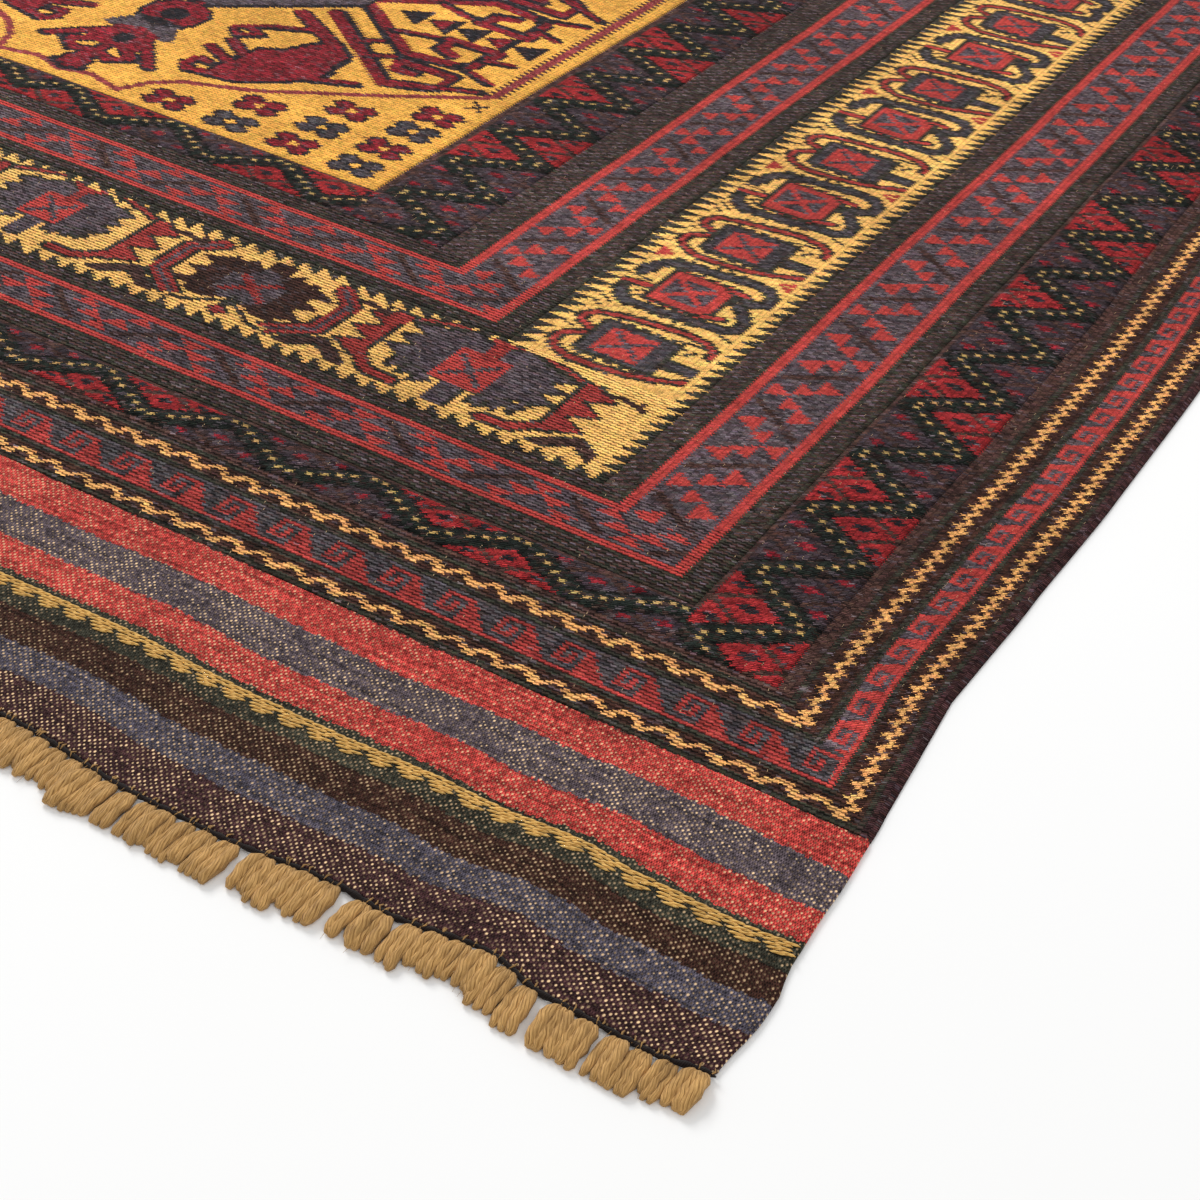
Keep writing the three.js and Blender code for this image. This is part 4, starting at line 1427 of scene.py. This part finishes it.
def stitched_wool():
    """Dyed wool wrapped round the warps: two leaning strokes to a quad, whose pointed ends reach into
    the stitches beside them, so that the edges of the motifs look spiky. At the ends the strokes lie in
    level rows."""
    material, node = surface("Wrapped dyed wool", Roughness=0.9, **WOOL)
    uv = node("UVMap", uv_map="stitch")
    u_all = node("SeparateXYZ", uv, out="X")
    v_all = node("SeparateXYZ", uv, out="Y")
    at_end = node("Attribute", attribute_name="at_end", out="Fac")
    u = node("Math.FRACT", u_all)
    v = node("Math.FRACT", v_all)
    from_mid = node("Math", u, -0.5)
    slope = node("Math.MULTIPLY_ADD", at_end, 0.26, -0.56)
    lean = node("Math.MULTIPLY_ADD", from_mid, slope, v)
    halves = node("Math.MULTIPLY", lean, 2.0)
    stroke = node("Math.FRACT", halves)
    whole_row = node("Math.FRACT", lean)
    # the strokes' ends are points: even ones on the left, odd ones on the right
    from_axis = node("Math", stroke, -0.5)
    away_axis = node("Math.ABSOLUTE", from_axis)
    tip = node("Math.MULTIPLY_ADD", away_axis, -0.62, 0.31)
    count = node("Math.FLOOR", halves)
    odd = node("Math.FLOORED_MODULO", count, 2.0)
    even = node("Math.SUBTRACT", 1.0, odd)
    near_left = node("Math.LESS_THAN", u, tip)
    from_left = node("Math.MULTIPLY", near_left, even)
    to_right = node("Math.SUBTRACT", 1.0, u)
    near_right = node("Math.LESS_THAN", to_right, tip)
    from_right = node("Math.MULTIPLY", near_right, odd)
    second = node("Math.GREATER_THAN", halves, 1.0)
    up = node("Math.GREATER_THAN", halves, 2.0)
    down = node("Math.LESS_THAN", halves, 0.0)
    colour = node("Attribute", attribute_name="lower")
    for name, factor in (("upper", second), ("above", up), ("below", down), ("left", from_left),
                         ("right", from_right)):
        other = node("Attribute", attribute_name=name)
        colour = node("Mix", factor, at={6: colour, 7: other}, **BLEND)
    # grooves between strokes, or between rows at the ends, and where strokes meet end to end
    row_axis = node("Math", whole_row, -0.5)
    away_row = node("Math.ABSOLUTE", row_axis)
    level = node("Mix", at_end, at={2: away_axis, 3: away_row}, data_type="FLOAT")
    across = node("Math.MULTIPLY", level, 2.0)
    row_gap = node("Math.POWER", across, 2.0)
    half_way = node("Math.ABSOLUTE", from_mid)
    twice = node("Math.MULTIPLY", half_way, 2.0)
    end_gap = node("Math.POWER", twice, 5.0)
    both = node("Math.MULTIPLY", row_gap, end_gap)
    row_cut = node("Math.MULTIPLY_ADD", at_end, 0.18, 0.78)
    end_cut = node("Math.MULTIPLY_ADD", at_end, -0.1, 0.16)
    place_of = node("TexCoord", out="Object")
    wander = node("TexNoise", Vector=place_of, Scale=1 / 0.005, Detail=1.0, out="Fac")
    uneven = node("MapRange", wander, *NOISE_SPAN, 0.62, 1.3)
    row_cut = node("Math.MULTIPLY", row_cut, uneven)
    height = node("Math.MULTIPLY_ADD", both, -0.3, 1.0)
    cut = node("Math.MULTIPLY", row_gap, row_cut)
    height = node("Math.SUBTRACT", height, cut)
    cut = node("Math.MULTIPLY", end_gap, end_cut)
    height = node("Math.SUBTRACT", height, cut)
    fibres = node("TexNoise", Vector=place_of, Scale=1 / 0.0011, Detail=2.0, out="Fac")
    patches = node("TexNoise", Vector=place_of, Scale=1 / 0.045, Detail=3.0, out="Fac")
    # the grooves hold shade, and loose fibres lighten or darken the crowns
    shade = node("MapRange", height, 0.0, 1.0, 0.02, 1.5)
    fleck = node("MapRange", fibres, *NOISE_SPAN, 0.62, 1.38)
    mottle = node("MapRange", patches, *NOISE_SPAN, 0.86, 1.14)
    light = node("Math.MULTIPLY", shade, fleck)
    light = node("Math.MULTIPLY", light, mottle)
    # painted shade: the level rows of strokes at the ends are darkened by up to 15 %, the field by less
    painted_end_shade = node("Math.MULTIPLY_ADD", at_end, -0.15, 1.0)
    light = node("Math.MULTIPLY", light, painted_end_shade)
    wool = node("VectorMath.SCALE", colour, Scale=light)
    # undyed warp shows in a few of the holes where four strokes meet
    cell_u = node("Math.ROUND", u_all)
    cell_v = node("Math.SUBTRACT", v_all, 0.5)
    cell_v = node("Math.ADD", cell_v, slope)
    cell_v = node("Math.ROUND", cell_v)
    hole = node("CombineXYZ", cell_u, cell_v)
    chance = node("TexWhiteNoise", Vector=hole, noise_dimensions="2D", out="Value")
    rare = node("MapRange", patches, 0.4, 0.65, 0.996, 0.95)
    lucky = node("Math.GREATER_THAN", chance, rare)
    corner = node("Math.GREATER_THAN", both, 0.3)
    bare = node("Math.MULTIPLY", lucky, corner)
    warp = tuple(yarn_table()[Y["warp"]]) + (1,)
    final = node("Mix", bare, at={6: wool, 7: warp}, **BLEND)
    rough = node("Math.MULTIPLY_ADD", fibres, 0.3, height)
    depth = bpy.context.scene.rug_sizes.stitch_depth
    return cover(material, final, Height=rough, Strength=0.9, Distance=depth)


def plain_weave():
    """Dyed wefts beaten down over undyed warps: soft stripes whose edges fray, and warps that peek
    through as staggered pale specks. Reads the piece's own map: metres across, and metres outward from
    the stitched body."""
    material, node = surface("Weft-faced plain weave", Roughness=0.92, **WOOL)
    uv = node("UVMap", uv_map="weft")
    across = node("SeparateXYZ", uv, out="X")
    outward = node("SeparateXYZ", uv, out="Y")
    warp = node("Math.DIVIDE", across, WARP_PITCH * MM)
    warp_number = node("Math.FLOOR", warp)
    stagger = node("Math.MULTIPLY", warp_number, 0.5)
    weft = node("Math.MULTIPLY_ADD", outward, 1 / (WEFT_PITCH * MM), stagger)
    weft_number = node("Math.FLOOR", weft)
    du = node("Math.FRACT", warp)
    dv = node("Math.FRACT", weft)
    cell = node("CombineXYZ", warp_number, weft_number)
    chance = node("TexWhiteNoise", Vector=cell, noise_dimensions="2D", out="Value")
    other_cell = node("VectorMath.ADD", cell, (31.5, 17.5, 0))
    pick = node("TexWhiteNoise", Vector=other_cell, noise_dimensions="2D", out="Value")
    # the stripes' edges wander and fray from warp to warp
    slow = node("TexNoise", Vector=uv, Scale=1 / 0.11, Detail=2.0, out="Fac")
    quick = node("Math.MULTIPLY_ADD", chance, 0.0028, outward)
    wander = node("Math.MULTIPLY_ADD", slow, 0.013, quick)
    wander = node("Math.SUBTRACT", wander, 0.0079)
    run = (SKIRT + SKIRT_LEAD) * MM
    share = node("Math.MULTIPLY_ADD", wander, 1 / run, SKIRT_LEAD * MM / run)
    stripes = node("ValToRGB", share)
    ramp = stripes.node.color_ramp
    ramp.interpolation = "CONSTANT"
    table = yarn_table()
    # each stripe begins where the one before it stops
    begin = -SKIRT_LEAD
    for number, (yarn, stop, bare) in enumerate(SKIRT_STRIPES):
        at = (begin + SKIRT_LEAD) * MM / run
        element = ramp.elements[number] if number < 2 else ramp.elements.new(at)
        element.position = at
        element.color = (*table[Y[yarn]], bare)
        begin = stop
    # warps show where the weft lies thin
    from_mid_u = node("Math", du, -0.5)
    from_mid_v = node("Math", dv, -0.5)
    jolt_u = node("Math.MULTIPLY_ADD", pick, 0.2, -0.1)
    jolt_v = node("Math.MULTIPLY_ADD", chance, 0.2, -0.1)
    at_u = node("Math.SUBTRACT", from_mid_u, jolt_u)
    at_v = node("Math.SUBTRACT", from_mid_v, jolt_v)
    su = node("Math.MULTIPLY", at_u, 1 / 0.33)
    sv = node("Math.MULTIPLY", at_v, 1 / 0.23)
    offset = node("CombineXYZ", su, sv)
    reach = node("VectorMath.LENGTH", offset, out="Value")
    wear = node("TexNoise", Vector=uv, Scale=1 / 0.05, Detail=4.0, Roughness=0.65, out="Fac")
    flat_way = node("VectorMath.MULTIPLY", uv, (70.0, 230.0, 0))
    patchy = node("TexNoise", Vector=flat_way, Scale=1.0, Detail=2.0, out="Fac")
    wear = node("Math.MULTIPLY_ADD", patchy, 1.0, wear)
    wear = node("Math", wear, -0.25)
    beyond = node("Math.MULTIPLY_ADD", outward, 0.5, wear)
    worn = node("MapRange", beyond, 0.63, 0.89, 0.0, 1.0)
    size = node("Math.MULTIPLY_ADD", pick, 0.45, 0.22)
    rim = node("Math.ADD", size, 0.6)
    inside_speck = node("MapRange", reach, size, rim, 1.0, 0.0)
    luck = node("Math.MULTIPLY_ADD", chance, 0.9, -0.45)
    there = node("Math.ADD", worn, luck, use_clamp=True)
    there = node("Math.MULTIPLY", there, stripes.node.outputs["Alpha"])
    speck = node("Math.MULTIPLY", inside_speck, there)
    # the wefts are beads between the warps
    bead_u = node("Math.MULTIPLY", from_mid_u, 2 * np.pi)
    bead_v = node("Math.MULTIPLY", from_mid_v, 2 * np.pi)
    wave_u = node("Math.COSINE", bead_u)
    wave_v = node("Math.COSINE", bead_v)
    bead = node("Math.MULTIPLY", wave_u, wave_v)
    height = node("Math.MULTIPLY_ADD", bead, -0.5, 0.5)
    shade = node("MapRange", height, 0.0, 0.9, 0.08, 1.74)
    tone = node("Math.MULTIPLY_ADD", pick, 0.8, 0.62)
    light = node("Math.MULTIPLY", shade, tone)
    # single wefts differ in dye along their whole run
    long_way = node("VectorMath.MULTIPLY", uv, (9.0, 420.0, 0))
    streak = node("TexNoise", Vector=long_way, Scale=1.0, Detail=2.0, out="Fac")
    dye = node("MapRange", streak, *NOISE_SPAN, 0.5, 1.5)
    light = node("Math.MULTIPLY", light, dye)
    wool = node("VectorMath.SCALE", stripes, Scale=light)
    bright = node("Math.MULTIPLY_ADD", chance, 0.9, 0.7)
    bare = node("VectorMath.SCALE", tuple(table[Y["warp"]]), Scale=bright)
    final = node("Mix", speck, at={6: wool, 7: bare}, **BLEND)
    raised = node("Math.MULTIPLY_ADD", speck, 0.3, height)
    return cover(material, final, Height=raised, Strength=0.9, Distance=0.0008)


def spun_wool(name, dark, pale, sheen, wrap, threads, fine, ridged=0.3):
    """Yarn seen close: threads wound side by side, and fibres that run along them. The map holds turns
    round the strand and metres along it; wrap is how many turns a metre the threads make, threads how
    many lie round it, fine how many fibres show round it, and ridged how far the threads stand out
    against the fibres. Its colour runs from dark to pale with height: painted shade in the hollows and
    painted light on the crowns, mixed with the fibres' own random tone."""
    material, node = surface(name, Roughness=0.95, Sheen_Weight=sheen, **WOOL)
    uv = node("UVMap", uv_map="strand")
    turns = node("SeparateXYZ", uv, out="X")
    along = node("SeparateXYZ", uv, out="Y")
    wound = node("Math.MULTIPLY_ADD", along, wrap, turns)
    dense = node("Math.MULTIPLY", wound, fine)
    slow = node("Math.MULTIPLY", along, 90.0)
    grain = node("CombineXYZ", dense, slow)
    fibres = node("TexNoise", Vector=grain, Scale=1.0, Detail=3.0, Roughness=0.6, out="Fac")
    place_of = node("TexCoord", out="Object")
    patches = node("TexNoise", Vector=place_of, Scale=1 / 0.012, Detail=2.0, out="Fac")
    # the threads are ridges: painted shade darkens their hollows and painted light brightens their
    # crowns, mixed with the fibres' own random tone
    sway = node("Math.MULTIPLY", patches, 1.6)
    ridge = node("Math.MULTIPLY_ADD", wound, threads * np.pi, sway)
    ridge = node("Math.SINE", ridge)
    ridge = node("Math.ABSOLUTE", ridge)
    height = node("Math.MULTIPLY_ADD", ridge, ridged, fibres)
    split = node("MapRange", height, 0.3 + ridged / 2, 0.62 + ridged, 0.0, 1.0)
    colour = node("Mix", split, at={6: (*linear(dark), 1), 7: (*linear(pale), 1)}, **BLEND)
    mottle = node("MapRange", patches, *NOISE_SPAN, 0.8, 1.15)
    final = node("VectorMath.SCALE", colour, Scale=mottle)
    return cover(material, final, Height=height, Strength=0.8, Distance=0.0007)


def painted_floor():
    """Matt white studio floor: painted board with the faintest unevenness of its coat."""
    material, node = surface("Matt painted floor", Roughness=0.9, Specular_IOR_Level=0.1)
    place_of = node("TexCoord", out="Object")
    coat = node("TexNoise", Vector=place_of, Scale=3.0, Detail=2.0, out="Fac")
    pale, white = ((*linear(code), 1) for code in ("#fcfcfb", "#fefefe"))
    return cover(material, node("Mix", coat, at={6: pale, 7: white}, **BLEND))


def unit(v):
    """A direction of length 1."""
    return v / np.linalg.norm(v)


def put(holder, right, up, back, at):
    """Stands a camera or a lamp at a place, with its own three axes in the given directions."""
    matrix = np.eye(4)
    matrix[:3] = np.stack([right, up, back, at], axis=1)
    holder.matrix_world = Matrix(matrix.tolist())
    bpy.context.scene.collection.objects.link(holder)


class RUG_OT_stage(bpy.types.Operator):
    """Makes the floor, the soft light and the camera at the photograph's angle"""

    bl_idname = "rug.make_stage"
    bl_label = "Stage"

    def execute(self, context):
        half = context.scene.rug_sizes.floor_side / 2
        floor = bpy.data.meshes.new("floor")
        corners = [(x * half, y * half, FLOOR_Z) for x, y in ((-1, -1), (1, -1), (1, 1), (-1, 1))]
        floor.from_pydata(corners, [], [(0, 1, 2, 3)])
        floor.materials.append(painted_floor())
        ground = bpy.data.objects.new("floor", floor)
        context.scene.collection.objects.link(ground)
        lens = bpy.data.cameras.new("camera")
        lens.sensor_width = 36
        lens.lens = CAMERA_LENS
        lens.clip_start = 0.05
        camera = bpy.data.objects.new("camera", lens)
        right = unit(np.array(CAMERA_RIGHT))
        back = unit(np.cross(right, CAMERA_UP))
        put(camera, right, np.cross(back, right), back, CAMERA_AT)
        context.scene.camera = camera
        for name, at, size, power in LAMPS:
            lamp = bpy.data.lights.new(name, "AREA")
            lamp.size = size
            lamp.energy = power
            toward = unit(-np.array(at) + np.array(LAMP_AIM))
            side = unit(np.cross(toward, [0, 0, 1]))
            put(bpy.data.objects.new(name, lamp), side, np.cross(side, toward), -toward, at)
        world = bpy.data.worlds.new("studio")
        context.scene.world = world
        world.use_nodes = True
        sky = world.node_tree.nodes["Background"]
        sky.inputs["Color"].default_value = (1, 1, 1, 1)
        sky.inputs["Strength"].default_value = SKY
        context.scene.view_settings.view_transform = "Standard"
        return {"FINISHED"}


class RUG_OT_bands(bpy.types.Operator):
    """Makes the seven stitched bands of the body, each a closed ring of stitches"""

    bl_idname = "rug.make_bands"
    bl_label = "Stitched bands"

    def execute(self, context):
        body = Body()
        material = stitched_wool()
        for band in range(len(BANDS)):
            ring_piece(body, band, material)
        return {"FINISHED"}


class RUG_OT_chains(bpy.types.Operator):
    """Makes the rows of long yellow stitches on both plain ends"""

    bl_idname = "rug.make_chains"
    bl_label = "Chain stitches"

    def execute(self, context):
        material = spun_wool("Plied yellow wool", "#b98237", "#ffd27c", 0.12, 90.0, 2.0, 6.0)
        for end, label in ENDS:
            chain_piece(end, label, material)
        return {"FINISHED"}


class RUG_OT_cords(bpy.types.Operator):
    """Makes the dark twined cord along both ends"""

    bl_idname = "rug.make_cords"
    bl_label = "End cords"

    def execute(self, context):
        material = spun_wool("Twined goat hair and wool", "#0a0808", "#302725", 0.08, 200.0, 4.0, 10.0)
        for end, label in ENDS:
            cord_piece(end, label, material)
        return {"FINISHED"}


class RUG_OT_fringes(bpy.types.Operator):
    """Makes the looped warp locks of both ends"""

    bl_idname = "rug.make_fringes"
    bl_label = "Fringes"

    def execute(self, context):
        material = spun_wool("Undyed camel wool", "#7a5020", "#e6b774", 0.1, 13.0, 10.0, 60.0, 0.17)
        for end, label in ENDS:
            fringe_piece(end, label, material)
        return {"FINISHED"}


class RUG_OT_ground(bpy.types.Operator):
    bl_idname = "rug.make_ground"
    bl_label = "Ground cloth"

    def execute(self, context):
        ground = ground_piece(plain_weave())
        return {"FINISHED"}


OPERATORS = [RUG_OT_stage, RUG_OT_bands, RUG_OT_chains, RUG_OT_cords, RUG_OT_fringes, RUG_OT_ground]


class RUG_PT_pieces(bpy.types.Panel):
    """Lists the pieces of the rug"""

    bl_idname = "RUG_PT_pieces"
    bl_label = "Kilim rug"
    bl_space_type = "VIEW_3D"
    bl_region_type = "UI"
    bl_category = "Rug"

    def draw(self, context):
        for operator in OPERATORS:
            self.layout.operator(operator.bl_idname)
        sizes = self.layout.box()
        for name in RugSizes.__annotations__:
            sizes.prop(context.scene.rug_sizes, name)
        yarns = self.layout.box()
        for name in YARNS:
            yarns.prop(context.scene.rug_yarns, name)


CLASSES = [RugSizes, RugYarns, *OPERATORS, RUG_PT_pieces]


def register():
    for item in CLASSES:
        bpy.utils.register_class(item)
    bpy.types.Scene.rug_sizes = bpy.props.PointerProperty(type=RugSizes)
    bpy.types.Scene.rug_yarns = bpy.props.PointerProperty(type=RugYarns)


def unregister():
    del bpy.types.Scene.rug_yarns
    del bpy.types.Scene.rug_sizes
    for item in reversed(CLASSES):
        bpy.utils.unregister_class(item)


def main():
    register()
    bpy.ops.rug.make_stage()
    bpy.ops.rug.make_bands()
    bpy.ops.rug.make_chains()
    bpy.ops.rug.make_cords()
    bpy.ops.rug.make_fringes()
    bpy.ops.rug.make_ground()


if __name__ == "__main__":
    main()
